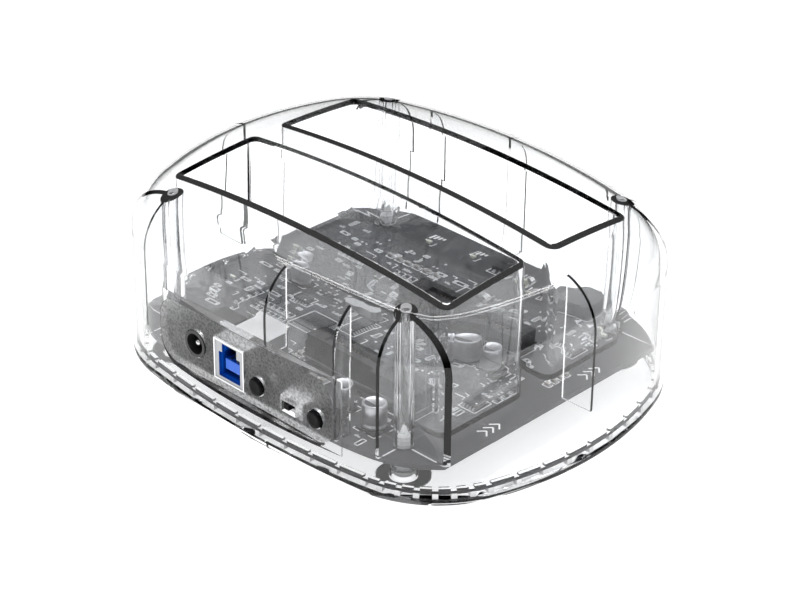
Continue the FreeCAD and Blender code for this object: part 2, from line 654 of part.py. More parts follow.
MODE_FRONT = "panel_face - panel_thickness - 0.3"
mode_sides = ("mode_x - 4.3", "mode_x + 4.3")
mode_rest = "mode_x + mode_travel / 2"
mode_block = span("mode_block", ("mode_x - 4", "mode_x + 4"), ("49.3", MODE_FRONT + " - 0.3"),
                  ("board_top", "board_top + 4.6"))
mode_groove = span("mode_groove", ("mode_x - 2.6", "mode_x + 2.6"), (MODE_FRONT + " - 1.9", "panel_face"),
                   ("mode_height - 1.3", "mode_height + 1.3"))
mode_switch_base = cut("mode_switch_base", mode_block, [mode_groove])
mode_cover = span("mode_cover", mode_sides, ("49.3", MODE_FRONT), ("board_top", "board_top + 4.9"))
mode_space = span("mode_space", ("mode_x - 4", "mode_x + 4"), ("48", MODE_FRONT + " - 0.3"),
                  ("board_top - 1", "board_top + 4.6"))
mode_window = span("mode_window", ("mode_x - 2.3", "mode_x + 2.3"), (MODE_FRONT + " - 1", "panel_face"),
                   ("mode_height - 1.1", "mode_height + 1.1"))
mode_switch_cover = cut("mode_switch_cover", mode_cover, [mode_space, mode_window])
mode_carriage = block("mode_carriage", "2.6", "1.2", "2.2", mode_rest, MODE_FRONT + " - 1.05",
                      "mode_height - 1.1")
mode_knob = span("mode_knob", (mode_rest + " - 0.95", mode_rest + " + 0.95"),
                 (MODE_FRONT + " - 1", "panel_face - 0.2"), ("mode_height - 0.85", "mode_height + 0.85"))
mode_slider = fuse("mode_slider", [mode_carriage, mode_knob])


# ---------------------------------------------------------------- parts on the board
def on_board(name, length, width, height, x, y):
    return block(name, length, width, height, x, y, "board_top")


CANS = [("-21.5", "41.8"), ("-34", "42.6"), ("-28.5", "0"), ("-37", "0"), ("35", "0")]
cans, can_bases = [], []
for number, (x, y) in enumerate(CANS):
    cans.append(upright("can_%d" % number, "can_diameter", x, y, "board_top + 1", "board_top + 1 + can_height"))
    can_bases.append(on_board("can_base_%d" % number, "can_diameter + 0.3", "can_diameter + 0.3", "1", x, y))
capacitor_cans = group("capacitor_cans", cans)
capacitor_bases = group("capacitor_bases", can_bases)

power_inductor = rounded_block("power_inductor", "12", "10.4", "5.4", "3", "-33", "-43.4", "board_top")


def leaded_chip(name, length, width, height, x, y, pins, along, pitch, both_ways=False):
    """A flat package with a row of short legs on two or four of its sides."""
    pieces = [on_board(name + "_case", length, width, height, x, y)]
    sides = [("x", 1), ("x", -1)] if along == "y" else [("y", 1), ("y", -1)]
    if both_ways:
        sides = [("x", 1), ("x", -1), ("y", 1), ("y", -1)]
    for axis, way in sides:
        for pin in range(pins):
            offset = (pin - (pins - 1) / 2) * pitch
            half = float(length) / 2 if axis == "x" else float(width) / 2
            out = way * (half + 0.4)
            spot = (out, offset) if axis == "x" else (offset, out)
            leg = (1.0, 0.45 * pitch) if axis == "x" else (0.45 * pitch, 1.0)
            pieces.append(on_board("%s_leg_%s%d_%d" % (name, axis, way > 0, pin), leg[0], leg[1], "0.25",
                                   "%s + %s" % (x, spot[0]), "%s + %s" % (y, spot[1])))
    return fuse(name, pieces)


bridge_controller = leaded_chip("bridge_controller", "9", "9", "1.1", "14", "18", 12, "x", 0.65, True)
clone_controller = leaded_chip("clone_controller", "8", "8", "1.1", "-6", "-24", 11, "x", 0.65, True)
flash_memory = leaded_chip("flash_memory", "5", "4", "1.3", "26", "9", 4, "x", 1.1)
logic_chip = leaded_chip("logic_chip", "4.4", "10", "1.1", "5", "9.5", 9, "y", 1.0)
voltage_regulators = group("voltage_regulators", [
    leaded_chip("regulator_%d" % number, "6.4", "3.6", "1.6", x, y, 3, "x", 2.2)
    for number, (x, y) in enumerate([("33", "44.6"), ("-20", "-45"), ("0", "-44.6")])])
power_mosfets = group("power_mosfets", [
    leaded_chip("mosfet_%d" % number, "5", "4", "1.5", x, y, 4, "x", 1.1)
    for number, (x, y) in enumerate([("12", "34"), ("-45", "16"), ("-45", "-24")])])
crystal = rounded_block("crystal", "10.8", "4.2", "3.4", "2", "10", "0", "board_top")

LIGHTS = [("27", "-42.5"), ("12", "-44.5"), ("-46.5", "-36"), ("-10.5", "-44.5"), ("50", "16"), ("50", "-12")]
status_lights = group("status_lights", [on_board("light_%d" % number, "1.6", "0.9", "0.7", x, y)
                                        for number, (x, y) in enumerate(LIGHTS)])


def small_parts(name, length, width, height, rows):
    """Rows of one small part: start, step and count of each row."""
    pieces = []
    for row, (x, y, step_x, step_y, count) in enumerate(rows):
        for number in range(count):
            pieces.append(on_board("%s_%d_%d" % (name, row, number), length, width, height,
                                   "%s" % (x + number * step_x), "%s" % (y + number * step_y)))
    return group(name, pieces)


chip_resistors = small_parts("chip_resistors", "1.0", "1.9", "0.5", [
    (22, 20, 2.2, 0, 6), (22, 24, 2.2, 0, 6), (4.2, 26, 0, -3.2, 3), (-12, -18.4, -2.2, 0, 6),
    (6, -22, 2.2, 0, 7), (38, 26, 0, -3.2, 4), (-48, 4, 0, 3.2, 3), (28, -20, 2.2, 0, 5)])
chip_capacitors = small_parts("chip_capacitors", "1.9", "1.1", "0.9", [
    (24, 30, 3.4, 0, 5), (6, 28, 0, 2.4, 3), (-14, -30, 3.4, 0, 4), (10, -28, 3.4, 0, 6),
    (-6, 37.5, 3.4, 0, 2), (48, -4, 0, -2.6, 4), (-52, -6, 0, -2.6, 4), (40, 39.5, 0, -2.4, 3)])

# ---------------------------------------------------------------- check and write
SUB_PARTS = [
    top_shell, drive_well_rear, drive_well_front, base_plate, case_screws, rubber_feet, main_board,
    sata_socket_rear, sata_socket_front, sata_contacts_rear, sata_contacts_front,
    dc_jack_housing, dc_jack_pin, dc_jack_spring,
    usb_port_shell, usb_port_insulator, usb_port_contacts,
    power_button, power_switch_plunger, power_switch_body, clone_button, clone_switch_body,
    mode_slider, mode_switch_base, mode_switch_cover,
    capacitor_cans, capacitor_bases, power_inductor, bridge_controller, clone_controller,
    flash_memory, logic_chip, voltage_regulators, power_mosfets, crystal, status_lights,
    chip_resistors, chip_capacitors,
]
power_switch_plunger.Label = "power_switch_plunger"
doc.recompute()

for item in doc.Objects:
    if {"Invalid", "Error"} & set(item.State):
        raise RuntimeError("%s failed: %s" % (item.Name, item.State))
for part in SUB_PARTS:
    if part.Shape.isNull() or not part.Shape.isValid():
        raise RuntimeError(part.Label + " has no sound shape")

os.makedirs("parts", exist_ok=True)
for part in SUB_PARTS:
    part.Shape.exportStep("parts/%s.step" % part.Label)
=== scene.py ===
import json
import math
import random

import bmesh
import bpy
from mathutils import Matrix, Vector


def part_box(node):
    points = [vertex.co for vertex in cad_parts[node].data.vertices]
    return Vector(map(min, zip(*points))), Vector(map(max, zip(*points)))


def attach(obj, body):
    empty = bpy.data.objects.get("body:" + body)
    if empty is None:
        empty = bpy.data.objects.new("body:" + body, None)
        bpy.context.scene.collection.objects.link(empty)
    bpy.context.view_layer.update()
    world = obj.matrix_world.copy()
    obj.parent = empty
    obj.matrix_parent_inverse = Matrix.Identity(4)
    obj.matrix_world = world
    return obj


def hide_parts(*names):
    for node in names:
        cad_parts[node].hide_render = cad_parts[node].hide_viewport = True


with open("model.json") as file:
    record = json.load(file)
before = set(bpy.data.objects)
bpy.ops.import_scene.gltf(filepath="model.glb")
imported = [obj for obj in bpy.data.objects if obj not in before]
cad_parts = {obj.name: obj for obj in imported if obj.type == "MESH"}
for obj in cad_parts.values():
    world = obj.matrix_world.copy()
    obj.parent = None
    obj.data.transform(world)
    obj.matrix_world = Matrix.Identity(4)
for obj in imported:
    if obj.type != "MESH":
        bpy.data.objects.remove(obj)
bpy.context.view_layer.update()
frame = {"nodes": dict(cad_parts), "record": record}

# A clear two-bay hard drive dock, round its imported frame. Metres; the ports face +Y.

MM = 0.001
NODES = frame["nodes"]


def mid(node):
    """The centre of a CAD node."""
    low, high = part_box(node)
    return Vector([(a + b) / 2 for a, b in zip(low, high)])


# ---------------------------------------------------------------- case sizes
SHELL_LOW, SHELL_HIGH = [Vector(corner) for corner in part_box("top_shell")]
BASE_LOW, BASE_HIGH = [Vector(corner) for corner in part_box("base_plate")]
FLANGE = BASE_HIGH.x - SHELL_HIGH.x          # the base stands out past the shell
WALL = 2.0 * MM
HALF_LENGTH = BASE_HIGH.x
HALF_WIDTH = SHELL_HIGH.y + FLANGE
SIDE_RADIUS = 265 * MM
END_RADIUS = 99 * MM
CORNER_RADIUS = 34.5 * MM
DOME_X = 451 * MM
DOME_Y = 350 * MM
SHOULDER = 15 * MM
CASE_TOP = SHELL_HIGH.z
BOARD_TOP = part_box("main_board")[1][2]
WELLS = [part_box("drive_well_rear"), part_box("drive_well_front")]
WELL_WALL = 1.2 * MM
BAY_CORNER = 2.0 * MM
POSTS = [(sx * 45.1 * MM, sy * 42.7 * MM) for sx, sy in ((1, 1), (-1, 1), (-1, -1), (1, -1))]
POST_RADIUS = 3.1 * MM
POST_THREAD = 1.85 * MM
POST_BORE = 1.3 * MM
POST_BORE_MOUTH = 1.45 * MM
FIN = 0.9 * MM
END_FIN = 1.4 * MM
SCREW_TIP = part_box("case_screws")[1][2]
PANEL_LEFT, PANEL_RIGHT = -32 * MM, 37 * MM
PANEL_LOW, PANEL_HIGH = 8.8 * MM, 28.8 * MM
PANEL_FACE = 55.8 * MM
PANEL_CORNER = 7 * MM
PANEL_FLARE = ((0, 0), (0.25, 0.03), (0.6, 0.15), (1.2, 0.6), (2.2, 1.7), (3.2, 3.0))   # out and wider, mm
SIDE_RIBS = ((-31.5, 1, BOARD_TOP), (-7.4, 1, PANEL_HIGH - MM), (33.5, -1, BOARD_TOP),
             (2.2, -1, BOARD_TOP), (-35, -1, BOARD_TOP))                               # x in mm, side, foot
JACK_HOLE = 4.25 * MM
BUTTON_HOLE = 2.95 * MM
BASE_TOP = 1.8 * MM
LIP_OUTER, LIP_INNER = 3.15 * MM, 4.35 * MM  # set in from the outline
SPACER_PITCH = 9 * MM


# ---------------------------------------------------------------- mesh helpers
def smooth(bm, smooth_angle):
    """Smooth shading, except across edges sharper than the angle in degrees."""
    limit = math.radians(smooth_angle)
    for face in bm.faces:
        face.smooth = True
    for edge in bm.edges:
        edge.smooth = len(edge.link_faces) == 2 and edge.calc_face_angle(0) < limit


def new_object(name, bm, smooth_angle=30):
    """An object from a bmesh, which is freed."""
    smooth(bm, smooth_angle)
    mesh = bpy.data.meshes.new(name)
    bm.to_mesh(mesh)
    bm.free()
    piece = bpy.data.objects.new(name, mesh)
    bpy.context.scene.collection.objects.link(piece)
    return piece


def lofted(rings, close_end=True):
    """A bmesh skin through rings of equal point count, closed at its start."""
    bm = bmesh.new()
    rows = [[bm.verts.new(point) for point in ring] for ring in rings]
    count = len(rings[0])
    for low, high in zip(rows, rows[1:]):
        for i in range(count):
            j = (i + 1) % count
            bm.faces.new((low[i], low[j], high[j], high[i]))
    bm.faces.new(list(reversed(rows[0])))
    if close_end:
        bm.faces.new(rows[-1])
    return bm


def prism(points, low, high):
    """A bmesh prism over a plan outline."""
    return lofted([[Vector((x, y, low)) for x, y in points], [Vector((x, y, high)) for x, y in points]])


def rounded_rectangle(x0, x1, y0, y1, radius, steps=6):
    """Plan outline, anticlockwise."""
    points = []
    for cx, cy, start in ((x1 - radius, y1 - radius, 0), (x0 + radius, y1 - radius, 90),
                          (x0 + radius, y0 + radius, 180), (x1 - radius, y0 + radius, 270)):
        for step in range(steps + 1):
            turn = math.radians(start + 90 * step / steps)
            points.append((cx + radius * math.cos(turn), cy + radius * math.sin(turn)))
    return points


def circle(x, y, radius, count=32):
    """Plan outline, anticlockwise."""
    return [(x + radius * math.cos(2 * math.pi * i / count), y + radius * math.sin(2 * math.pi * i / count))
            for i in range(count)]


def box_bmesh(x0, x1, y0, y1, z0, z1):
    return prism([(x0, y0), (x1, y0), (x1, y1), (x0, y1)], z0, z1)


def along_y(bm, x, z):
    """Turns a bmesh made along Z so that it runs along Y, and puts its axis at x and z."""
    turn = Matrix.Rotation(math.radians(-90), 4, "X")
    bmesh.ops.transform(bm, matrix=Matrix.Translation((x, 0, z)) @ turn, verts=bm.verts)
    return bm


def turned_at(bm, x, y, turn):
    """Turns a bmesh about Z by an angle in radians, and moves it to x and y."""
    move = Matrix.Translation((x, y, 0)) @ Matrix.Rotation(turn, 4, "Z")
    bmesh.ops.transform(bm, matrix=move, verts=bm.verts)
    return bm


def boolean(piece, tools, operation="DIFFERENCE"):
    """Cuts (or joins) the tools, given as bmeshes or objects, and applies the result."""
    folder = bpy.data.collections.new("tools")
    objects = []
    for tool in tools:
        if isinstance(tool, bmesh.types.BMesh):
            mesh = bpy.data.meshes.new("tool")
            tool.to_mesh(mesh)
            tool.free()
            tool = bpy.data.objects.new("tool", mesh)
            bpy.context.scene.collection.objects.link(tool)
        folder.objects.link(tool)
        objects.append(tool)
    modifier = piece.modifiers.new("cut", "BOOLEAN")
    modifier.operation = operation
    modifier.operand_type = "COLLECTION"
    modifier.collection = folder
    modifier.solver = "MANIFOLD"
    bpy.context.view_layer.update()
    shape = bpy.data.meshes.new_from_object(piece.evaluated_get(bpy.context.evaluated_depsgraph_get()))
    piece.modifiers.clear()
    piece.data = shape
    for tool in objects:
        bpy.data.objects.remove(tool)
    bpy.data.collections.remove(folder)


def resmooth(piece, smooth_angle=30):
    """Merges stray points and shades the piece again after a boolean."""
    bm = bmesh.new()
    bm.from_mesh(piece.data)
    bmesh.ops.remove_doubles(bm, verts=bm.verts, dist=1e-7)
    bmesh.ops.dissolve_degenerate(bm, edges=bm.edges, dist=1e-7)
    smooth(bm, smooth_angle)
    bm.to_mesh(piece.data)
    bm.free()


# ---------------------------------------------------------------- case outline and dome
def outline_spans():
    """Centre, radius and end directions of the outline's eight tangent arcs, anticlockwise."""
    side = Vector((0, HALF_WIDTH - SIDE_RADIUS))
    end = Vector((HALF_LENGTH - END_RADIUS, 0))
    to_side, to_end = SIDE_RADIUS - CORNER_RADIUS, END_RADIUS - CORNER_RADIUS
    link = end - side
    gap = link.length
    along = (to_side ** 2 - to_end ** 2 + gap ** 2) / (2 * gap)
    across = math.sqrt(to_side ** 2 - along ** 2)
    unit = link / gap
    corner = side + unit * along + Vector((unit.y, -unit.x)) * across
    at_side = math.atan2(*reversed(corner - side))
    at_end = math.atan2(*reversed(corner - end))
    half = math.pi
    return [(end, END_RADIUS, -at_end, at_end),
            (corner, CORNER_RADIUS, at_end, at_side),
            (side, SIDE_RADIUS, at_side, half - at_side),
            (Vector((-corner.x, corner.y)), CORNER_RADIUS, half - at_side, half - at_end),
            (-end, END_RADIUS, half - at_end, half + at_end),
            (-corner, CORNER_RADIUS, half + at_end, half + at_side),
            (-side, SIDE_RADIUS, half + at_side, 2 * half - at_side),
            (Vector((corner.x, -corner.y)), CORNER_RADIUS, 2 * half - at_side, 2 * half - at_end)]


SPANS = outline_spans()


def outline(inset, step=1.6 * MM):
    """Points of the case outline with their outward normals, set in from the flange."""
    points = []
    for number, (centre, radius, first, last) in enumerate(SPANS):
        finest = step * (0.62 if number % 2 else 1.0)
        count = max(4, round(radius * (last - first) / finest))
        for i in range(count):
            turn = first + (last - first) * i / count
            normal = Vector((math.cos(turn), math.sin(turn)))
            points.append((centre + normal * (radius - inset), normal))
    return points


def dome_height(x, y, depth):
    """Height of the crowned top, a given depth below its outer face."""
    reach = (DOME_X - DOME_Y) + math.sqrt((DOME_Y - depth) ** 2 - y * y)
    return math.sqrt(reach * reach - x * x) + CASE_TOP - DOME_X


def dome_normal(x, y, depth):
    root = math.sqrt((DOME_Y - depth) ** 2 - y * y)
    reach = (DOME_X - DOME_Y) + root
    return Vector((x / reach, y / root, math.sqrt(reach * reach - x * x) / reach)).normalized()


def dome_solid(depth, bottom):
    """The closed crowned block whose skin lies a given depth inside the shell's outer face."""
    ball = SHOULDER - depth
    spine = outline(FLANGE + SHOULDER)
    lift_steps, arc_steps, rings_in = 8, 22, 22
    hub_reach = 30 * MM
    centres, tops, normals = [], [], []
    for point, normal in spine:
        centres.append(Vector((point.x, point.y, dome_height(point.x, point.y, SHOULDER))))
        tops.append(dome_normal(point.x, point.y, SHOULDER))
        normals.append(Vector((normal.x, normal.y, 0)))
    rings = []
    low = [centre + normal * ball for centre, normal in zip(centres, normals)]
    for step in range(lift_steps):
        share = step / lift_steps
        rings.append([Vector((p.x, p.y, bottom + (p.z - bottom) * share)) for p in low])
    for step in range(arc_steps + 1):
        share = step / arc_steps
        rings.append([centre + normal.slerp(top, share) * ball
                      for centre, normal, top in zip(centres, normals, tops)])
    edge = rings[-1]
    for step in range(1, rings_in + 1):
        share = step / rings_in
        ring = []
        for p in edge:
            hub = max(-hub_reach, min(hub_reach, p.x))
            x, y = p.x + (hub - p.x) * share, p.y * (1 - share)
            ring.append(Vector((x, y, dome_height(x, y, depth))))
        rings.append(ring)
    bm = lofted(rings, close_end=False)
    bmesh.ops.remove_doubles(bm, verts=bm.verts, dist=1e-7)
    bmesh.ops.dissolve_degenerate(bm, edges=bm.edges, dist=1e-7)
    return bm


# ---------------------------------------------------------------- clear top shell
def well_plan(well, inset, radius):
    (x0, y0, _), (x1, y1, _) = well
    return rounded_rectangle(x0 + inset, x1 - inset, y0 + inset, y1 - inset, radius)


def kept_inside(high):
    """What stays solid inside the shell: wells, posts with fins, wall ribs and the port panel."""
    keep = [prism(well_plan(well, 0, BAY_CORNER + WELL_WALL), well[0][2], high) for well in WELLS]
    for x, y in POSTS:
        keep.append(prism(circle(x, y, POST_RADIUS, 40), BOARD_TOP, high))
        past_end, past_side = x + math.copysign(1, x) * 40 * MM, y + math.copysign(1, y) * 30 * MM
        keep.append(box_bmesh(min(x, past_end), max(x, past_end), y - END_FIN / 2, y + END_FIN / 2,
                              BOARD_TOP, high))
        keep.append(box_bmesh(x - FIN / 2, x + FIN / 2, min(y, past_side), max(y, past_side), BOARD_TOP, high))
    rib_reach = HALF_WIDTH - 10.5 * MM
    for x, side, low in SIDE_RIBS:
        y0, y1 = sorted((side * rib_reach, side * (HALF_WIDTH + 9 * MM)))
        keep.append(box_bmesh(x * MM - FIN / 2, x * MM + FIN / 2, y0, y1, low, high))
    for side in (1, -1):
        x0, x1 = sorted((side * 62.3 * MM, side * 92 * MM))
        keep.append(box_bmesh(x0, x1, -FIN / 2, FIN / 2, 14.3 * MM, high))
    keep.append(box_bmesh(PANEL_LEFT - 2 * MM, PANEL_RIGHT + 2 * MM, PANEL_FACE - 1.8 * MM, 66 * MM,
                          PANEL_LOW - 1.5 * MM, PANEL_HIGH + 1.5 * MM))
    return keep


def shell_openings(high):
    """Bays, socket slots, post bores, the flared port recess and its holes."""
    holes = []
    for well in WELLS:
        holes.append(prism(well_plan(well, WELL_WALL, BAY_CORNER), well[0][2] + WELL_WALL, high))
    floor = WELLS[0][0][2]
    gap = 0.5 * MM
    for node in ("sata_socket_rear", "sata_socket_front"):
        (x0, y0, _), (x1, y1, _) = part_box(node)
        holes.append(box_bmesh(x0 - gap, x1 + gap, y0 - gap, y1 + gap, floor - MM, floor + WELL_WALL + MM))
    for x, y in POSTS:
        holes.append(prism(circle(x, y, POST_THREAD), BOARD_TOP - MM, SCREW_TIP - 1.8 * MM))
        holes.append(prism(circle(x, y, POST_BORE), SCREW_TIP - 2.5 * MM, high))
        # the wider mouth at the top of each bore gives faces for the painted highlight
        holes.append(prism(circle(x, y, POST_BORE_MOUTH), dome_height(x, y, 1.3 * MM), high))
    recess = []
    for out, grow in PANEL_FLARE:
        plan = rounded_rectangle(PANEL_LEFT - grow * MM, PANEL_RIGHT + grow * MM, -PANEL_HIGH - grow * MM,
                                 -PANEL_LOW + min(grow, 0.6) * MM, PANEL_CORNER, 10)
        recess.append([Vector((x, y, PANEL_FACE + out * MM)) for x, y in plan])
    holes.append(along_y(lofted(recess), 0, 0))
    front, back = PANEL_FACE + MM, PANEL_FACE - 3 * MM
    jack = mid("dc_jack_pin")
    holes.append(along_y(prism(circle(0, 0, JACK_HOLE, 40), back, front), jack.x, jack.z))
    (x0, _, z0), (x1, _, z1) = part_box("usb_port_shell")
    gap = 0.25 * MM
    holes.append(box_bmesh(x0 - gap, x1 + gap, back, front, z0 - gap, z1 + gap))
    for node in ("power_button", "clone_button"):
        place = mid(node)
        holes.append(along_y(prism(circle(0, 0, BUTTON_HOLE, 36), back, front), place.x, place.z))
    x, z = mid("mode_switch_cover").x, mid("mode_slider").z
    holes.append(box_bmesh(x - 2.6 * MM, x + 2.6 * MM, back, front, z - 1.7 * MM, z + 1.7 * MM))
    return holes


def build_shell():
    high = CASE_TOP + 6 * MM
    keep = kept_inside(high)
    cavity = new_object("cavity", dome_solid(WALL, SHELL_LOW.z - 2 * MM))
    boolean(cavity, keep)
    shell = new_object("clear_top_shell", dome_solid(0, SHELL_LOW.z))
    boolean(shell, [cavity] + shell_openings(high))
    resmooth(shell)
    return shell


# ---------------------------------------------------------------- clear base plate
def plan_ring(inset, z):
    return [Vector((point.x, point.y, z)) for point, normal in outline(inset)]


def build_base():
    """A soft-edged plate with a notched lip, spacers under the shell, and screw bosses."""
    low, top = BASE_LOW.z, BASE_TOP
    soft, softer = 0.35 * MM, 0.1 * MM
    base = new_object("clear_base_plate", lofted([
        plan_ring(soft, low), plan_ring(softer, low + softer), plan_ring(0, low + soft),
        plan_ring(0, top - soft), plan_ring(softer, top - softer), plan_ring(soft, top)]))
    lip_low, lip_high = top - 0.3 * MM, top + 2.3 * MM
    lip = new_object("lip", lofted([plan_ring(LIP_OUTER, lip_low), plan_ring(LIP_OUTER, lip_high)]))
    notches = [lofted([plan_ring(LIP_INNER, lip_low - MM), plan_ring(LIP_INNER, lip_high + MM)])]
    spacers = []
    half = 0.8 * MM
    for point, normal in outline(2.4 * MM, SPACER_PITCH):
        turn = math.atan2(normal.y, normal.x)
        spacer = box_bmesh(-1.1 * MM, 1.3 * MM, -half, half, top - 0.2 * MM, SHELL_LOW.z)
        notch = box_bmesh(-3.2 * MM, 1 * MM, -half, half, lip_high - 0.7 * MM, lip_high + MM)
        spacers.append(turned_at(spacer, point.x, point.y, turn))
        notches.append(turned_at(notch, point.x, point.y, turn))
    boolean(lip, notches)
    bosses = [prism(circle(x, y, 3.7 * MM, 40), low + 0.2 * MM, BOARD_TOP - 1.6 * MM) for x, y in POSTS]
    boolean(base, [lip] + spacers + bosses, "UNION")
    sinks = []
    for x, y in POSTS:
        for radius, count, bottom, reach in ((7.5, 48, low - MM, 1.2), (3.3, 36, low, 4), (2.05, 32, low, 12)):
            sinks.append(prism(circle(x, y, radius * MM, count), bottom, reach * MM))
    boolean(base, sinks)
    resmooth(base)
    return base


# ---------------------------------------------------------------- materials
def feed(tree, node, inputs):
    """Sets a node's inputs, by name or number: a value is set, another node's output is linked."""
    for word, value in inputs.items():
        if isinstance(value, bpy.types.NodeSocket):
            tree.links.new(value, node.inputs[word])
        else:
            node.inputs[word].default_value = value


def add_node(tree, kind, inputs=None, **settings):
    """A shader node with its settings made and its inputs fed."""
    node = tree.nodes.new("ShaderNode" + kind)
    for word, value in settings.items():
        setattr(node, word, value)
    feed(tree, node, inputs or {})
    return node


def add_ramp(tree, factor, stops):
    """A colour ramp through stops of a position and a colour or a grey."""
    ramp = add_node(tree, "ValToRGB", {"Fac": factor})
    while len(ramp.color_ramp.elements) < len(stops):
        ramp.color_ramp.elements.new(0.5)
    for element, (position, tone) in zip(ramp.color_ramp.elements, stops):
        element.position = position
        element.color = (*tone, 1) if isinstance(tone, tuple) else (tone, tone, tone, 1)
    return ramp.outputs["Color"]


def frame_place(tree):
    """Coordinates of the row frame, in metres."""
    return add_node(tree, "TexCoord").outputs["Object"]


def add_noise(tree, scale, detail=2.0):
    spot = {"Vector": frame_place(tree), "Scale": scale, "Detail": detail}
    return add_node(tree, "TexNoise", spot).outputs["Fac"]


def new_material(name):
    """A material, its tree and its Principled shader."""
    material = bpy.data.materials.new(name)
    material.use_nodes = True
    tree = material.node_tree
    return material, tree, tree.nodes["Principled BSDF"]


def grain(tree, shader, scale, depth):
    """Fine bump, a given depth in metres."""
    height = add_noise(tree, scale, 4.0)
    bump = add_node(tree, "Bump", {"Height": height, "Strength": 1.0, "Distance": depth})
    feed(tree, shader, {"Normal": bump.outputs["Normal"]})


def opaque(name, colour, roughness=0.5, metallic=0.0, scale=900.0, depth=0.00002, vary=0.12):
    """A finish with fine grain and a slight, blotchy change of tone and gloss."""
    material, tree, shader = new_material(name)
    grain(tree, shader, scale, depth)
    blotch = add_noise(tree, scale / 6)
    dark, pale = [tuple(min(1.0, part * factor) for part in colour) for factor in (1 - vary, 1 + vary)]
    gloss = add_node(tree, "MapRange", {"Value": blotch, "To Min": roughness * 0.8,
                                        "To Max": min(1.0, roughness * 1.25)})
    feed(tree, shader, {"Metallic": metallic, "Base Color": add_ramp(tree, blotch, ((0.3, dark), (0.7, pale))),
                        "Roughness": gloss.outputs["Result"]})
    return material


def clear(name, colour=(0.985, 0.99, 0.995), roughness=0.0, scale=60.0, depth=0.0):
    """Clear plastic with painted shade edge-on: its body colour and the tint of its reflections darken toward
    grazing angles. It lets lamp light through to what is inside.
    """
    material, tree, shader = new_material(name)
    slant = add_node(tree, "LayerWeight", {"Blend": 0.5}).outputs["Facing"]
    # painted shade: the body colour falls to near black edge-on, drawing dark outlines on the clear walls
    body = [(place, tuple(part * share for part in colour))
            for place, share in ((0.0, 1.0), (0.58, 0.96), (0.78, 0.42), (0.91, 0.01))]
    # painted shade on reflections too: the specular tint falls to near black edge-on
    feed(tree, shader, {"Base Color": add_ramp(tree, slant, body),
                        "Specular Tint": add_ramp(tree, slant, ((0.72, 1), (0.93, 0.04))),
                        "Roughness": roughness, "IOR": 1.41, "Transmission Weight": 1.0})
    if depth:
        grain(tree, shader, scale, depth)
    through = add_node(tree, "BsdfTransparent", {"Color": (*colour, 1)})
    lit = add_node(tree, "LightPath").outputs["Is Shadow Ray"]
    mix = add_node(tree, "MixShader", {"Fac": lit, 1: shader.outputs["BSDF"], 2: through.outputs["BSDF"]})
    feed(tree, tree.nodes["Material Output"], {"Surface": mix.outputs["Shader"]})
    return material


def repaint(material, colour):
    """Puts a node's output in the place of a material's base colour."""
    feed(material.node_tree, material.node_tree.nodes["Principled BSDF"], {"Base Color": colour})
    return material


def painted_bay_rim_shade():
    """Clear plastic with painted shade: its last millimetre under the dome is painted near black as a dark band
    along the bay rim.
    """
    material = clear("bay side plastic with painted rim shade")
    tree = material.node_tree
    split = add_node(tree, "SeparateXYZ", {"Vector": frame_place(tree)})
    height = split.outputs["Z"]
    for axis, radius in (("X", DOME_X), ("Y", DOME_Y)):
        across = split.outputs[axis]
        square = add_node(tree, "Math", {0: across, 1: across}, operation="MULTIPLY")
        height = add_node(tree, "Math", {0: square.outputs[0], 1: 0.5 / radius, 2: height},
                          operation="MULTIPLY_ADD").outputs[0]
    # painted shade: near black within the top 1.2 to 1.3 mm of the bay side, under the dome
    reach = add_node(tree, "MapRange", {"Value": height, "From Min": CASE_TOP - 1.3 * MM,
                                        "From Max": CASE_TOP - 1.2 * MM})
    return repaint(material, add_ramp(tree, reach.outputs["Result"], ((0, (0.98, 0.985, 0.99)), (1, 0.0003))))


def port_blue():
    """Blue moulding with painted shade making it nearly black down in its mouth, a painted highlight band a
    little behind its front, and a silvery rim at its very front.
    """
    material = opaque("port blue", (0.006, 0.085, 0.62), 0.35)
    tree = material.node_tree
    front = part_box("usb_port_insulator")[1][1]
    split = add_node(tree, "SeparateXYZ", {"Vector": frame_place(tree)})
    reach = add_node(tree, "MapRange", {"Value": split.outputs["Y"], "From Min": front - 5 * MM,
                                        "From Max": front})
    # painted shade deep in the mouth, and a painted highlight band at the bright stop
    deep, middle, bright = (0.001, 0.010, 0.08), (0.002, 0.075, 0.47), (0.006, 0.15, 0.82)
    rim = (0.52, 0.53, 0.55)
    return repaint(material, add_ramp(tree, reach.outputs["Result"], (
        (0, deep), (0.6, middle), (0.76, bright), (0.83, middle), (0.982, middle), (0.992, rim))))


def frosted():
    """Grained clear plastic: cloudy, with pale and dark specks, and a painted pool of light round the slide
    switch that darkens away from it.
    """
    material = clear("frosted plastic", (0.9, 0.9, 0.91), 0.3, 2600, 0.00009)
    tree = material.node_tree
    specks = add_ramp(tree, add_noise(tree, 1500, 6), ((0.36, 0.16), (0.68, 0.90)))
    apart = add_node(tree, "VectorMath", {0: frame_place(tree), 1: mid("mode_switch_cover")},
                     operation="DISTANCE")
    # painted light: a pool paler near the slide switch, darker from 24 mm away
    painted_light_pool = add_node(tree, "MapRange", {"Value": apart.outputs["Value"], "From Min": 3 * MM,
                                       "From Max": 24 * MM, "To Min": 1.12, "To Max": 0.66})
    shade = add_node(tree, "VectorMath", {0: specks, "Scale": painted_light_pool.outputs["Result"]}, operation="SCALE")
    return repaint(material, shade.outputs["Vector"])
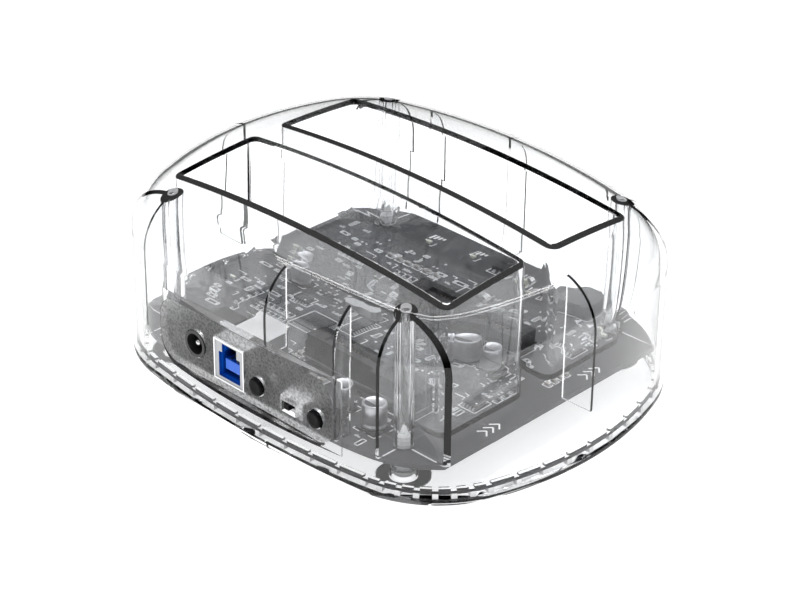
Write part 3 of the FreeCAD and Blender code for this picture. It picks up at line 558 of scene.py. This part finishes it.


# both clear finishes carry the painted edge-on shade of clear()
CLEAR = clear("clear plastic", depth=0.000004, scale=45)
CLEAR_BASE = clear("clear base plastic", depth=0.000004, scale=45)
FROSTED = frosted()
PAINTED_BAY_RIM_SHADE = painted_bay_rim_shade()
# painted shade: near-black opaque faces on the shell's foot ring and the outer faces of the base lip
PAINTED_SHADE = opaque("painted shade on rim faces", (0.035, 0.035, 0.037), 0.3)
# painted highlight: pale opaque faces on the clear parts, at fin feet, bore mouths and base spacers
PAINTED_HIGHLIGHT = opaque("painted highlight faces", (0.86, 0.86, 0.87), 0.6)
BOARD = opaque("solder mask", (0.048, 0.048, 0.051), 0.5, scale=500)
PRINT = opaque("pale print", (0.95, 0.95, 0.95), 0.6, scale=4000, vary=0.05)
TRACK = opaque("track under mask", (0.085, 0.085, 0.088), 0.4, scale=1200)
TIN = opaque("bright tin", (0.92, 0.92, 0.93), 0.34, 1.0, scale=700, vary=0.05)
GOLD = opaque("contact gold", (0.62, 0.56, 0.44), 0.26, 1.0)
SILVER = opaque("contact silver", (0.74, 0.74, 0.75), 0.18, 1.0)
STEEL = opaque("plated steel", (0.62, 0.62, 0.64), 0.22, 1.0)
BLACK = opaque("black moulding", (0.016, 0.016, 0.017), 0.42, scale=2500)
CAP = opaque("button black", (0.004, 0.004, 0.0045), 0.16, scale=1500, depth=0.000004)
CAP.node_tree.nodes["Principled BSDF"].inputs["Specular IOR Level"].default_value = 0.06
WHITE = opaque("white moulding", (0.72, 0.72, 0.71), 0.38)
PACKAGE = opaque("chip package", (0.022, 0.022, 0.024), 0.5, scale=3500, depth=0.00003)
CERAMIC = opaque("fired ceramic", (0.34, 0.32, 0.30), 0.45, scale=2500)
CAN = opaque("can aluminium", (0.50, 0.50, 0.52), 0.34, 1.0, scale=1600)
CAN_MARK = opaque("can mark", (0.035, 0.035, 0.04), 0.5)
FERRITE = opaque("pressed ferrite", (0.13, 0.13, 0.135), 0.62, scale=1800, depth=0.00006)
LENS = opaque("lamp lens", (0.80, 0.80, 0.70), 0.25)
RUBBER = opaque("foot rubber", (0.30, 0.30, 0.305), 0.75, scale=1400, depth=0.00005)
BLUE = port_blue()


# ---------------------------------------------------------------- pieces in place of CAD nodes
def islands(node):
    """The boxes of a CAD node's separate solids, as (low, high) corner pairs."""
    bm = bmesh.new()
    bm.from_mesh(NODES[node].data)
    bmesh.ops.remove_doubles(bm, verts=bm.verts, dist=1e-6)
    left = set(bm.verts)
    boxes = []
    while left:
        seed = left.pop()
        group, edge = {seed}, [seed]
        while edge:
            for link in edge.pop().link_edges:
                for vert in link.verts:
                    if vert in left:
                        left.discard(vert)
                        group.add(vert)
                        edge.append(vert)
        spots = [vert.co for vert in group]
        boxes.append((Vector([min(p[i] for p in spots) for i in range(3)]),
                      Vector([max(p[i] for p in spots) for i in range(3)])))
    bm.free()
    return sorted(boxes, key=lambda pair: [round(pair[0][i], 5) for i in range(3)])


def add_block(bm, low, high, material=0, soft=0.0):
    """A box, with its edges rounded by soft."""
    low, high = Vector(low), Vector(high)
    scale = Matrix.Diagonal((*(high - low), 1))
    verts = bmesh.ops.create_cube(bm, size=1, matrix=Matrix.Translation((low + high) / 2) @ scale)["verts"]
    for vert in verts:
        for face in vert.link_faces:
            face.material_index = material
    if soft:
        edges = list(dict.fromkeys(edge for vert in verts for edge in vert.link_edges))
        bmesh.ops.bevel(bm, geom=edges, offset=soft, segments=2, profile=0.5, affect="EDGES",
                        clamp_overlap=True)


def add_turned(bm, x, y, profile, material=0, count=40):
    """A turned shape: profile is a list of radius and height, from low to high."""
    rows = []
    for radius, z in profile:
        if radius == 0:
            rows.append([bm.verts.new((x, y, z))])
        else:
            rows.append([bm.verts.new((*spot, z)) for spot in circle(x, y, radius, count)])
    for low, high in zip(rows, rows[1:]):
        for i in range(count):
            j = (i + 1) % count
            if len(low) == 1:
                face = bm.faces.new((low[0], high[j], high[i]))
            elif len(high) == 1:
                face = bm.faces.new((low[i], low[j], high[0]))
            else:
                face = bm.faces.new((low[i], low[j], high[j], high[i]))
            face.material_index = material


def merge(bm, other):
    """Adds another bmesh's faces to this one and frees it."""
    mesh = bpy.data.meshes.new("part")
    other.to_mesh(mesh)
    other.free()
    bm.from_mesh(mesh)
    bpy.data.meshes.remove(mesh)


def enlist(piece, body, nodes):
    """Ties a piece to the frame."""
    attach(piece, body)
    if nodes:
        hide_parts(*nodes)


def settle(name, bm, materials, nodes, body="dock", smooth_angle=40):
    """Makes the object, gives it its finishes and ties it to the frame."""
    piece = new_object(name, bm, smooth_angle)
    for material in materials:
        piece.data.materials.append(material)
    enlist(piece, body, nodes)


# each leg's near and far reach from the package, then low and high over the board, in mm
LEG = ((-0.1, 0.4, 0.42, 0.56), (0.32, 0.48, 0.05, 0.56), (0.4, 0.88, 0.0, 0.14))


def build_chip(name, node, count, legs_x, legs_y):
    """Flat packages with a pin-one dot and bent tin legs, in the places of a node's solids."""
    bm = bmesh.new()
    for low, high in islands(node):
        reach = 0.9 * MM
        inner_low = Vector((low.x + reach * legs_x, low.y + reach * legs_y, low.z + 0.12 * MM))
        inner_high = Vector((high.x - reach * legs_x, high.y - reach * legs_y, high.z))
        add_block(bm, inner_low, inner_high, 0, 0.12 * MM)
        dot, dot_top = 0.32 * MM, high.z + 0.004 * MM
        add_turned(bm, inner_low.x + 0.9 * MM, inner_high.y - 0.9 * MM,
                   [(dot, high.z - 0.02 * MM), (dot, dot_top), (0, dot_top)], 2, 14)
        middle = (inner_low + inner_high) / 2
        for axis, way in [(0, -1), (0, 1)] * legs_x + [(1, -1), (1, 1)] * legs_y:
            other = 1 - axis
            pitch = min((inner_high[other] - inner_low[other]) / (count + 0.4), 2.2 * MM)
            half = pitch * 0.24
            edge = (inner_high if way > 0 else inner_low)[axis]
            for number in range(count):
                place = middle[other] + (number - (count - 1) / 2) * pitch
                for near, far, base, top in LEG:
                    first, last = sorted((way * near * MM, way * far * MM))
                    a, b = low.copy(), low.copy()
                    a[axis], b[axis] = edge + first, edge + last
                    a[other], b[other] = place - half, place + half
                    a.z, b.z = low.z + base * MM, low.z + top * MM
                    add_block(bm, a, b, 1)
    settle(name, bm, [PACKAGE, TIN, PRINT], [node])


def build_passives():
    """Resistors and capacitors: a body between two tinned ends."""
    for name, node, body, slot in (("resistor_chips", "chip_resistors", PACKAGE, "package_black"),
                                   ("capacitor_chips", "chip_capacitors", CERAMIC, "ceramic_chip")):
        bm = bmesh.new()
        for low, high in islands(node):
            axis = 0 if high.x - low.x > high.y - low.y else 1
            cap = 0.34 * MM
            first, last = low.copy(), high.copy()
            first[axis] += cap
            last[axis] -= cap
            last.z -= 0.04 * MM
            add_block(bm, first, last, 0)
            for start, stop in ((low[axis], low[axis] + cap), (high[axis] - cap, high[axis])):
                a, b = low.copy(), high.copy()
                a[axis], b[axis] = start, stop
                add_block(bm, a, b, 1, 0.07 * MM)
        settle(name, bm, [body, TIN], [node])


# a can's wall: radius as a share, and height from its foot or its top in mm
CAN_FOOT = ((0.97, 0), (1, 0.2), (1, 0.9), (0.93, 1.15), (0.93, 1.35), (1, 1.6))
CAN_HEAD = ((1, 0.45), (0.975, 0.18), (0.92, 0.03), (0.86, 0), (0.82, 0.12), (0, 0.12))


def build_cans():
    """Electrolytic capacitors: a crimped can with a dark half-moon on its top, on a moulded base."""
    bm = bmesh.new()
    for low, high in islands("capacitor_cans"):
        x, y = (low.x + high.x) / 2, (low.y + high.y) / 2
        r, z0, z1 = (high.x - low.x) / 2, low.z, high.z
        add_turned(bm, x, y, [(r * share, z0 + lift * MM) for share, lift in CAN_FOOT]
                   + [(r * share, z1 - drop * MM) for share, drop in CAN_HEAD], 0, 48)
        arc = [(x + r * 0.78 * math.cos(t), y + r * 0.78 * math.sin(t))
               for t in [math.radians(20 + 140 * i / 18) for i in range(19)]]
        mark = prism(arc, z1 - 0.12 * MM, z1 - 0.095 * MM)
        for face in mark.faces:
            face.material_index = 1
        merge(bm, mark)
        for turn in (0, 60, 120):
            score = box_bmesh(-r * 0.6, r * 0.6, -0.06 * MM, 0.06 * MM, z1 - 0.12 * MM, z1 - 0.1 * MM)
            merge(bm, turned_at(score, x, y, math.radians(turn)))
    settle("capacitor_bodies", bm, [CAN, CAN_MARK], ["capacitor_cans"])
    bm = bmesh.new()
    for low, high in islands("capacitor_bases"):
        cut = 0.9 * MM
        plan = [(low.x + cut, low.y), (high.x - cut, low.y), (high.x, low.y + cut), (high.x, high.y),
                (low.x, high.y), (low.x, low.y + cut)]
        merge(bm, prism(plan, low.z, high.z - 0.3 * MM))
        x, half, long = (low.x + high.x) / 2, 0.4 * MM, 1.2 * MM
        for a, b in ((low.y, low.y + long), (high.y - long, high.y)):
            add_block(bm, (x - half, a, low.z), (x + half, b, low.z + 0.12 * MM), 1)
    settle("capacitor_seats", bm, [BLACK, TIN], ["capacitor_bases"])


def build_screws():
    """Case screws: a rounded head with a cross recess and a threaded shank."""
    low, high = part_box("case_screws")
    seat = 4.0 * MM
    root, crest = 1.42 * MM, 1.78 * MM
    profile = [(0, low.z), (2.2 * MM, low.z), (2.75 * MM, low.z + 0.35 * MM), (2.98 * MM, low.z + 0.9 * MM),
               (2.98 * MM, seat - 0.2 * MM), (2.7 * MM, seat), (1.5 * MM, seat)]
    z = seat + 0.6 * MM
    while z < high.z - 3.2 * MM:
        profile += [(root, z), (crest, z + 0.36 * MM), (crest, z + 0.46 * MM), (root, z + 0.82 * MM)]
        z += 1.15 * MM
    profile += [(1.4 * MM, high.z - 3 * MM), (0.5 * MM, high.z - 0.7 * MM), (0.14 * MM, high.z - 0.05 * MM),
                (0, high.z)]
    bm = bmesh.new()
    for x, y in POSTS:
        add_turned(bm, x, y, profile, 0, 36)
    screws = new_object("threaded_screws", bm, 35)
    boolean(screws, [box_bmesh(x - half_x * MM, x + half_x * MM, y - half_y * MM, y + half_y * MM,
                               low.z - MM, low.z + 1.0 * MM)
                     for x, y in POSTS for half_x, half_y in ((1.7, 0.45), (0.45, 1.7))])
    resmooth(screws, 35)
    screws.data.materials.append(STEEL)
    enlist(screws, "dock", ["case_screws"])


def build_feet():
    rings = [(3.8, 0.25), (4.05, 0), (7.05, 0), (7.3, 0.25), (7.3, 1.0), (7.1, 1.2), (4.0, 1.2), (3.8, 1.0),
             (3.8, 0.25)]
    bm = bmesh.new()
    for x, y in POSTS:
        add_turned(bm, x, y, [(radius * MM, z * MM) for radius, z in rings], 0, 56)
    bmesh.ops.remove_doubles(bm, verts=bm.verts, dist=1e-7)
    settle("foot_rings", bm, [RUBBER], ["rubber_feet"])


# a cap's face: radius as a share, and depth behind its front in mm
CAP_FACE = ((1, 0.55), (0.985, 0.3), (0.93, 0.1), (0.84, 0), (0.55, 0.06), (0, 0.12))


def build_button(name, node, stemmed):
    """A cap with a rounded front edge and a faint dish, on its stem if it has one."""
    low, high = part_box(node)
    centre = (low + high) / 2
    r, back, front = (high.x - low.x) / 2, low.y, high.y
    profile, start = [(0, back)], back
    if stemmed:
        profile += [(1.55 * MM, back), (1.55 * MM, back + 3 * MM)]
        start = back + 3.2 * MM
    profile += [(r * 0.96, start), (r, start + 0.2 * MM)]
    profile += [(r * share, front - deep * MM) for share, deep in CAP_FACE]
    bm = bmesh.new()
    add_turned(bm, 0, 0, profile, 0, 48)
    settle(name, along_y(bm, centre.x, centre.z), [CAP], [node], node)


def build_inductor():
    low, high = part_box("power_inductor")
    bm = prism(rounded_rectangle(low.x, high.x, low.y, high.y, 3 * MM, 8), low.z, high.z)
    rim = [edge for edge in bm.edges if all(abs(vert.co.z - high.z) < 1e-6 for vert in edge.verts)]
    bmesh.ops.bevel(bm, geom=rim, offset=0.9 * MM, segments=4, profile=0.5, affect="EDGES")
    y, long, half = (low.y + high.y) / 2, 2.6 * MM, 2.2 * MM
    for x in (low.x, high.x - long):
        add_block(bm, (x, y - half, low.z), (x + long, y + half, low.z + 0.25 * MM), 1)
    settle("power_choke", bm, [FERRITE, TIN], ["power_inductor"], smooth_angle=50)


# ---------------------------------------------------------------- board print and tracks
SKIN = 0.03 * MM                             # the print stands this far off the board
SUNK = 0.02 * MM
LINE = 0.3 * MM


def add_bar(bm, x0, y0, x1, y1, material=0, height=SKIN):
    """A printed bar, or with material 1 a tinned pad."""
    add_block(bm, (min(x0, x1), min(y0, y1), BOARD_TOP - SUNK), (max(x0, x1), max(y0, y1), BOARD_TOP + height),
              material)


def add_frame(bm, x0, y0, x1, y1, gap, share=0.5):
    """A printed outline. With a share under a half, its sides are open in the middle."""
    x0, y0, x1, y1 = x0 - gap, y0 - gap, x1 + gap, y1 + gap
    half, wide, deep = LINE / 2, (x1 - x0) * share, (y1 - y0) * share
    for y in (y0, y1):
        add_bar(bm, x0, y - half, x0 + wide, y + half)
        add_bar(bm, x1 - wide, y - half, x1, y + half)
    for x in (x0, x1):
        add_bar(bm, x - half, y0, x + half, y0 + deep)
        add_bar(bm, x - half, y1 - deep, x + half, y1)


def mark_outlines(bm):
    """Outlines round the parts, and a plus by each capacitor can."""
    for node in ("chip_resistors", "chip_capacitors"):
        for a, b in islands(node):
            add_frame(bm, a.x, a.y, b.x, b.y, 0.32 * MM)
    for node in ("bridge_controller", "clone_controller", "flash_memory", "logic_chip", "voltage_regulators",
                 "power_mosfets", "crystal", "power_inductor", "sata_socket_rear", "sata_socket_front",
                 "capacitor_bases"):
        for a, b in islands(node):
            add_frame(bm, a.x, a.y, b.x, b.y, 0.5 * MM, 0.3 if node == "capacitor_bases" else 0.5)
    arm = 0.7 * MM
    for a, b in islands("capacitor_bases"):
        x, y = (a.x + b.x) / 2, a.y - 1.6 * MM
        add_bar(bm, x - arm, y - LINE / 2, x + arm, y + LINE / 2)
        add_bar(bm, x - LINE / 2, y - arm, x + LINE / 2, y + arm)


STROKE_SIZES = ((3.4, 1.3), (2.4, 1.3), (1.3, 3.2), (1.9, 1.1), (4.6, 1.5))   # mm
STROKE_COUNT, STROKE_TRIES = 190, 16000


def stroke_spots(dice):
    """Free plan boxes (x0, x1, y0, y1) between the parts, off the posts and the board's margins."""
    low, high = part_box("main_board")
    off_board = ("top_shell", "base_plate", "main_board", "drive_well_rear", "drive_well_front", "rubber_feet",
                 "case_screws")
    taken = [(a.x, b.x, a.y, b.y) for node in NODES if node not in off_board
             for a, b in islands(node) if a.z < BOARD_TOP + 1.2 * MM]
    gap, margin = 0.6 * MM, 3 * MM
    spots = []
    for _ in range(STROKE_TRIES):
        if len(spots) == STROKE_COUNT:
            break
        x, y = dice.uniform(low.x + margin, high.x - margin), dice.uniform(low.y + margin, high.y - margin)
        wide, deep = dice.choice(STROKE_SIZES)
        x0, x1, y0, y1 = x - wide * MM / 2, x + wide * MM / 2, y - deep * MM / 2, y + deep * MM / 2
        if math.hypot(abs(x) - POSTS[0][0], abs(y) - POSTS[0][1]) < 7 * MM:
            continue
        if (abs(x) > 44 * MM and abs(y) > 40 * MM) or y < -35 * MM or x < -45 * MM or x > 52 * MM:
            continue
        if any(x0 - gap < b and x1 + gap > a and y0 - gap < d and y1 + gap > c for a, b, c, d in taken + spots):
            continue
        spots.append((x0, x1, y0, y1))
    return spots


def mark_strokes(bm, dice):
    """Pad pairs, combs, angles and rings beside the parts, in place of lettering."""
    inset, pad = 0.35 * MM, 0.55 * MM
    for number, (x0, x1, y0, y1) in enumerate(stroke_spots(dice)):
        kind = number % 5
        if kind in (0, 3):
            add_frame(bm, x0, y0, x1, y1, 0)
            add_bar(bm, x0 + inset, y0 + inset, x0 + inset + pad, y1 - inset, 1, 0.06 * MM)
            add_bar(bm, x1 - inset - pad, y0 + inset, x1 - inset, y1 - inset, 1, 0.06 * MM)
        elif kind == 1:
            x = x0
            while x + 0.2 * MM < x1:
                add_bar(bm, x, y0 + dice.choice((0, 0.3, 0.5)) * MM, x + 0.2 * MM, y1)
                x += 0.42 * MM
        elif kind == 2:
            add_bar(bm, x0, y0, x1, y0 + LINE)
            add_bar(bm, x0, y0, x0 + LINE, y1)
        else:
            rim, floor = BOARD_TOP + 0.05 * MM, BOARD_TOP + 0.01 * MM
            for x, y in ((x0, y0), (x1, y1), (x0, y1)):
                add_turned(bm, x, y, [(0.42 * MM, BOARD_TOP), (0.42 * MM, rim), (0.2 * MM, rim),
                                      (0.2 * MM, floor), (0, floor)], 1, 14)


# places in mm
LEVEL_MARKS = ((27, -47.0), (12, -48.2), (-10.5, -48.2), (-46.5, -31))
LAMP_BRACKETS = ((27, -42.5), (12, -44.5), (-10.5, -44.5), (-46.5, -36), (50, 16), (50, -12))
CHEVRONS = ((-56.2, 20.4), (-56.2, -20.4))
ARROWS = ((-38, -37.8), (-43, -37.8))


def mark_signs(bm):
    """Level ticks and brackets by the lamps, chevrons by the sockets, arrows, and painted highlight lines in
    the print finish under the fins' feet.
    """
    for number, (x, y) in enumerate(LEVEL_MARKS):
        for tick in range(4):
            x0 = (x - 1.8 + tick * 1.2) * MM
            wide, tall = (0.75 if tick <= 3 - number else 0.3) * MM, (1.0 + 0.5 * tick) * MM
            add_bar(bm, x0, y * MM, x0 + wide, y * MM + tall)
    for x, y in LAMP_BRACKETS:
        for x0, y0, x1, y1 in ((-2.2, 1.0, -1.4, 1.3), (-2.2, -0.9, -1.9, 1.3), (1.5, -1.0, 2.3, -0.6)):
            add_bar(bm, (x + x0) * MM, (y + y0) * MM, (x + x1) * MM, (y + y1) * MM)
    for x, y in CHEVRONS:
        for step in range(3):
            for way in (-1, 1):
                arm = box_bmesh(0, 2.6 * MM, -0.25 * MM, 0.25 * MM, BOARD_TOP - SUNK, BOARD_TOP + SKIN)
                merge(bm, turned_at(arm, (x + 0.2) * MM, (y + (step - 1) * 2.4) * MM,
                                    math.radians(90 - way * 42)))
    for x, y in ARROWS:
        merge(bm, prism([(x * MM, y * MM), ((x + 2.4) * MM, (y + 1.3) * MM), (x * MM, (y + 2.6) * MM)],
                        BOARD_TOP - SUNK, BOARD_TOP + SKIN))
    # painted highlight: pale lines in the print finish on the board right under the fins
    half, start = 0.45 * MM, 3.3 * MM
    for x, y in POSTS:
        out_x, out_y = math.copysign(1, x), math.copysign(1, y)
        add_bar(bm, x + out_x * start, y - half, x + out_x * 12 * MM, y + half)
        add_bar(bm, x - half, y + out_y * start, x + half, y + out_y * 8 * MM)


def board_marks():
    """Pale print, tinned pads and painted highlight lines under the fins on the board's upper face."""
    bm = bmesh.new()
    mark_outlines(bm)
    mark_strokes(bm, random.Random(7))
    mark_signs(bm)
    settle("board_print_pads_and_painted_fin_lines", bm, [PRINT, TIN], [])


def board_tracks():
    """Tracks that turn at 45 degrees, just proud of the board under its mask."""
    low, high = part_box("main_board")
    dice = random.Random(23)
    bm = bmesh.new()
    level = (BOARD_TOP - 0.01 * MM, BOARD_TOP + 0.014 * MM)
    half = 0.13 * MM

    def run(x0, y0, x1, y1):
        length = math.hypot(x1 - x0, y1 - y0)
        if length > 1e-5:
            merge(bm, turned_at(box_bmesh(-half, length + half, -half, half, *level), x0, y0,
                                math.atan2(y1 - y0, x1 - x0)))

    for _ in range(34):
        x, y = dice.uniform(low.x + 8 * MM, high.x - 8 * MM), dice.uniform(low.y + 8 * MM, high.y - 8 * MM)
        turn = dice.choice((0, 90, 180, 270))
        legs = [(turn, dice.uniform(5, 16)), (turn + dice.choice((45, -45)), dice.uniform(3, 9))]
        legs.append((turn, dice.uniform(5, 15)))
        side = math.radians(turn + 90)
        for lane in range(dice.choice((2, 3, 4, 6))):
            px, py = x + math.cos(side) * lane * 0.62 * MM, y + math.sin(side) * lane * 0.62 * MM
            for heading, reach in legs:
                qx = px + math.cos(math.radians(heading)) * reach * MM
                qy = py + math.sin(math.radians(heading)) * reach * MM
                qx = max(low.x + 5 * MM, min(high.x - 5 * MM, qx))
                qy = max(low.y + 5 * MM, min(high.y - 5 * MM, qy))
                if abs(qx) > 40 * MM and abs(qy) > 38 * MM:
                    break
                run(px, py, qx, qy)
                px, py = qx, qy
    settle("board_tracks", bm, [TRACK], [])


# ---------------------------------------------------------------- case finishes
def within(value, low, high, slack=0.1 * MM):
    return low - slack < value < high + slack


def paint(piece, materials, choose):
    """Gives a piece its materials, and each face the one that choose names."""
    piece.data.materials.clear()
    for material in materials:
        piece.data.materials.append(material)
    for face in piece.data.polygons:
        face.material_index = materials.index(choose(face.center, face.normal))


BAYS = [(Vector(low) + Vector((1, 1, 1)) * WELL_WALL, Vector(high) - Vector((1, 1, 0)) * WELL_WALL)
        for low, high in WELLS]


def shell_finish(c, n):
    """Frosted port recess with its painted pool of light, painted highlight on the fin feet and bore mouths,
    painted shade on the foot ring, and a painted dark band on two bay sides.
    """
    if (n.y > 0.9 and abs(c.y - PANEL_FACE) < 0.05 * MM and within(c.x, PANEL_LEFT, PANEL_RIGHT)
            and within(c.z, PANEL_LOW, PANEL_HIGH, MM)):
        return FROSTED
    # painted highlight on the feet of the posts, fins and ribs
    if n.z < -0.95 and abs(c.z - BOARD_TOP) < 0.05 * MM:
        return PAINTED_HIGHLIGHT
    # painted shade on the shell's foot ring
    if n.z < -0.95 and abs(c.z - SHELL_LOW.z) < 0.05 * MM:
        return PAINTED_SHADE
    if abs(n.z) > 0.1:
        return CLEAR
    # painted highlight in the bore mouths
    if c.z > 46 * MM and any(1.38 * MM < math.hypot(c.x - x, c.y - y) < 1.6 * MM for x, y in POSTS):
        return PAINTED_HIGHLIGHT
    # painted shade band on the bay sides that face +Y or -X
    if (n.y > 0.3 or n.x < -0.3) and any(within(c.x, low.x, high.x) and within(c.y, low.y, high.y)
                                         for low, high in BAYS):
        return PAINTED_BAY_RIM_SHADE
    return CLEAR


LIP_LINE = outline(LIP_OUTER, 6 * MM)


def base_finish(c, n):
    """Painted shade on the faces at the back of the vent slots round the rim, and a painted highlight on the
    pale spacers between them.
    """
    if abs(n.z) > 0.1 or not 1.7 * MM < c.z < 3.7 * MM:
        return CLEAR_BASE
    point, normal = min(LIP_LINE, key=lambda pair: (pair[0].x - c.x) ** 2 + (pair[0].y - c.y) ** 2)
    out = (c.x - point.x) * normal.x + (c.y - point.y) * normal.y
    # painted shade on the lip's outer faces
    if abs(out) < 0.35 * MM and n.x * normal.x + n.y * normal.y > 0.8:
        return PAINTED_SHADE
    # painted highlight on the spacers and notch sides
    return PAINTED_HIGHLIGHT if 0.35 * MM < out < 2.6 * MM else CLEAR_BASE


shell = build_shell()
paint(shell, [CLEAR, FROSTED, PAINTED_HIGHLIGHT, PAINTED_BAY_RIM_SHADE, PAINTED_SHADE], shell_finish)
enlist(shell, "dock", ["top_shell", "drive_well_rear", "drive_well_front"])

base = build_base()
paint(base, [CLEAR_BASE, PAINTED_SHADE, PAINTED_HIGHLIGHT], base_finish)
enlist(base, "dock", ["base_plate"])

build_chip("bridge_chip", "bridge_controller", 12, True, True)
build_chip("copy_chip", "clone_controller", 11, True, True)
build_chip("memory_chip", "flash_memory", 4, False, True)
build_chip("logic_package", "logic_chip", 9, True, False)
build_chip("regulator_packages", "voltage_regulators", 3, False, True)
build_chip("mosfet_packages", "power_mosfets", 4, False, True)
build_passives()
build_cans()
build_screws()
build_feet()
build_button("power_cap", "power_button", False)
build_button("clone_cap", "clone_button", True)
build_inductor()
board_marks()
board_tracks()

# the CAD nodes that stay get a finish by their slot
FINISHES = {
    "board": BOARD, "black_moulding": BLACK, "button_black": CAP, "white_moulding": WHITE,
    "blue_moulding": BLUE, "tin_plate": TIN, "contact_gold": GOLD, "contact_silver": SILVER,
    "package_black": PACKAGE, "lamp": LENS,
}
for part in frame["record"]["subparts"]:
    piece = NODES[part["node"]]
    if piece.hide_render or part["material_slot"] not in FINISHES:
        continue
    piece.data.materials.clear()
    piece.data.materials.append(FINISHES[part["material_slot"]])
    soften = piece.modifiers.new("soft edges", "BEVEL")
    soften.width = 0.08 * MM
    soften.segments = 2
    soften.limit_method = "ANGLE"
    soften.angle_limit = math.radians(50)


# ---------------------------------------------------------------- stage
FLOOR_HALF = 6                               # metres
SKY = ((0.0, 0.03), (0.14, 0.04), (0.45, 0.42), (0.8, 1.0))   # sine of the height, tone
STRIP_WIDTH, STRIP_RADIANCE = 0.05, 12
CAMERA_PLACE, CAMERA_AIM = Vector((-0.4237, 0.4365, 0.3694)), Vector((-0.00558, 0.00412, 0.02265))
CAMERA_ROLL = 0.62                           # degrees
FOCAL_PIXELS = 2473.3                        # in an 800 pixel wide frame


def build_stage():
    """A pale floor that glows a little, under a soft sky that darkens toward the horizon."""
    bm = bmesh.new()
    bmesh.ops.create_grid(bm, x_segments=1, y_segments=1, size=FLOOR_HALF)
    floor = new_object("floor", bm)
    paper = opaque("pale floor", (0.92, 0.92, 0.92), 0.9, scale=30, vary=0.01)
    feed(paper.node_tree, paper.node_tree.nodes["Principled BSDF"],
         {"Emission Color": (1, 1, 1, 1), "Emission Strength": 0.75})
    floor.data.materials.append(paper)
    world = bpy.data.worlds.new("studio")
    world.use_nodes = True
    tree = world.node_tree
    split = add_node(tree, "SeparateXYZ", {"Vector": add_node(tree, "TexCoord").outputs["Generated"]})
    feed(tree, tree.nodes["Background"], {"Color": add_ramp(tree, split.outputs["Z"], SKY), "Strength": 1.05})
    bpy.context.scene.world = world


def add_strip(name, first, last):
    """A narrow soft lamp between two points a metre or so away, facing the object."""
    first, last = Vector(first), Vector(last)
    lamp = bpy.data.lights.new(name, "AREA")
    lamp.shape = "RECTANGLE"
    lamp.size, lamp.size_y = (last - first).length, STRIP_WIDTH
    lamp.energy = STRIP_RADIANCE * math.pi * lamp.size * lamp.size_y
    centre = (first + last) / 2
    back = (centre - Vector((0, 0, 0.04))).normalized()
    along = (last - first - back * (last - first).dot(back)).normalized()
    holder = bpy.data.objects.new(name, lamp)
    turn = Matrix((along, back.cross(along), back)).transposed().to_4x4()
    holder.matrix_world = Matrix.Translation(centre) @ turn
    bpy.context.scene.collection.objects.link(holder)


def build_camera():
    camera = bpy.data.cameras.new("camera")
    camera.sensor_width = 36
    camera.lens = FOCAL_PIXELS * 36 / 800
    eye = bpy.data.objects.new("camera", camera)
    bpy.context.scene.collection.objects.link(eye)
    turn = (CAMERA_AIM - CAMERA_PLACE).normalized().to_track_quat("-Z", "Y").to_matrix().to_4x4()
    roll = Matrix.Rotation(math.radians(CAMERA_ROLL), 4, "Z")
    eye.matrix_world = Matrix.Translation(CAMERA_PLACE) @ turn @ roll
    bpy.context.scene.camera = eye


build_stage()
add_strip("strip over the port side", (0.602, -0.018, 0.798), (0.110, -0.131, 0.986))
add_strip("strip over the near end", (0.004, -0.623, 0.782), (0.110, -0.131, 0.986))
build_camera()
scene = bpy.context.scene
scene.view_settings.view_transform = "Standard"
scene.cycles.max_bounces = 32
scene.cycles.transmission_bounces = 32
scene.cycles.transparent_max_bounces = 64
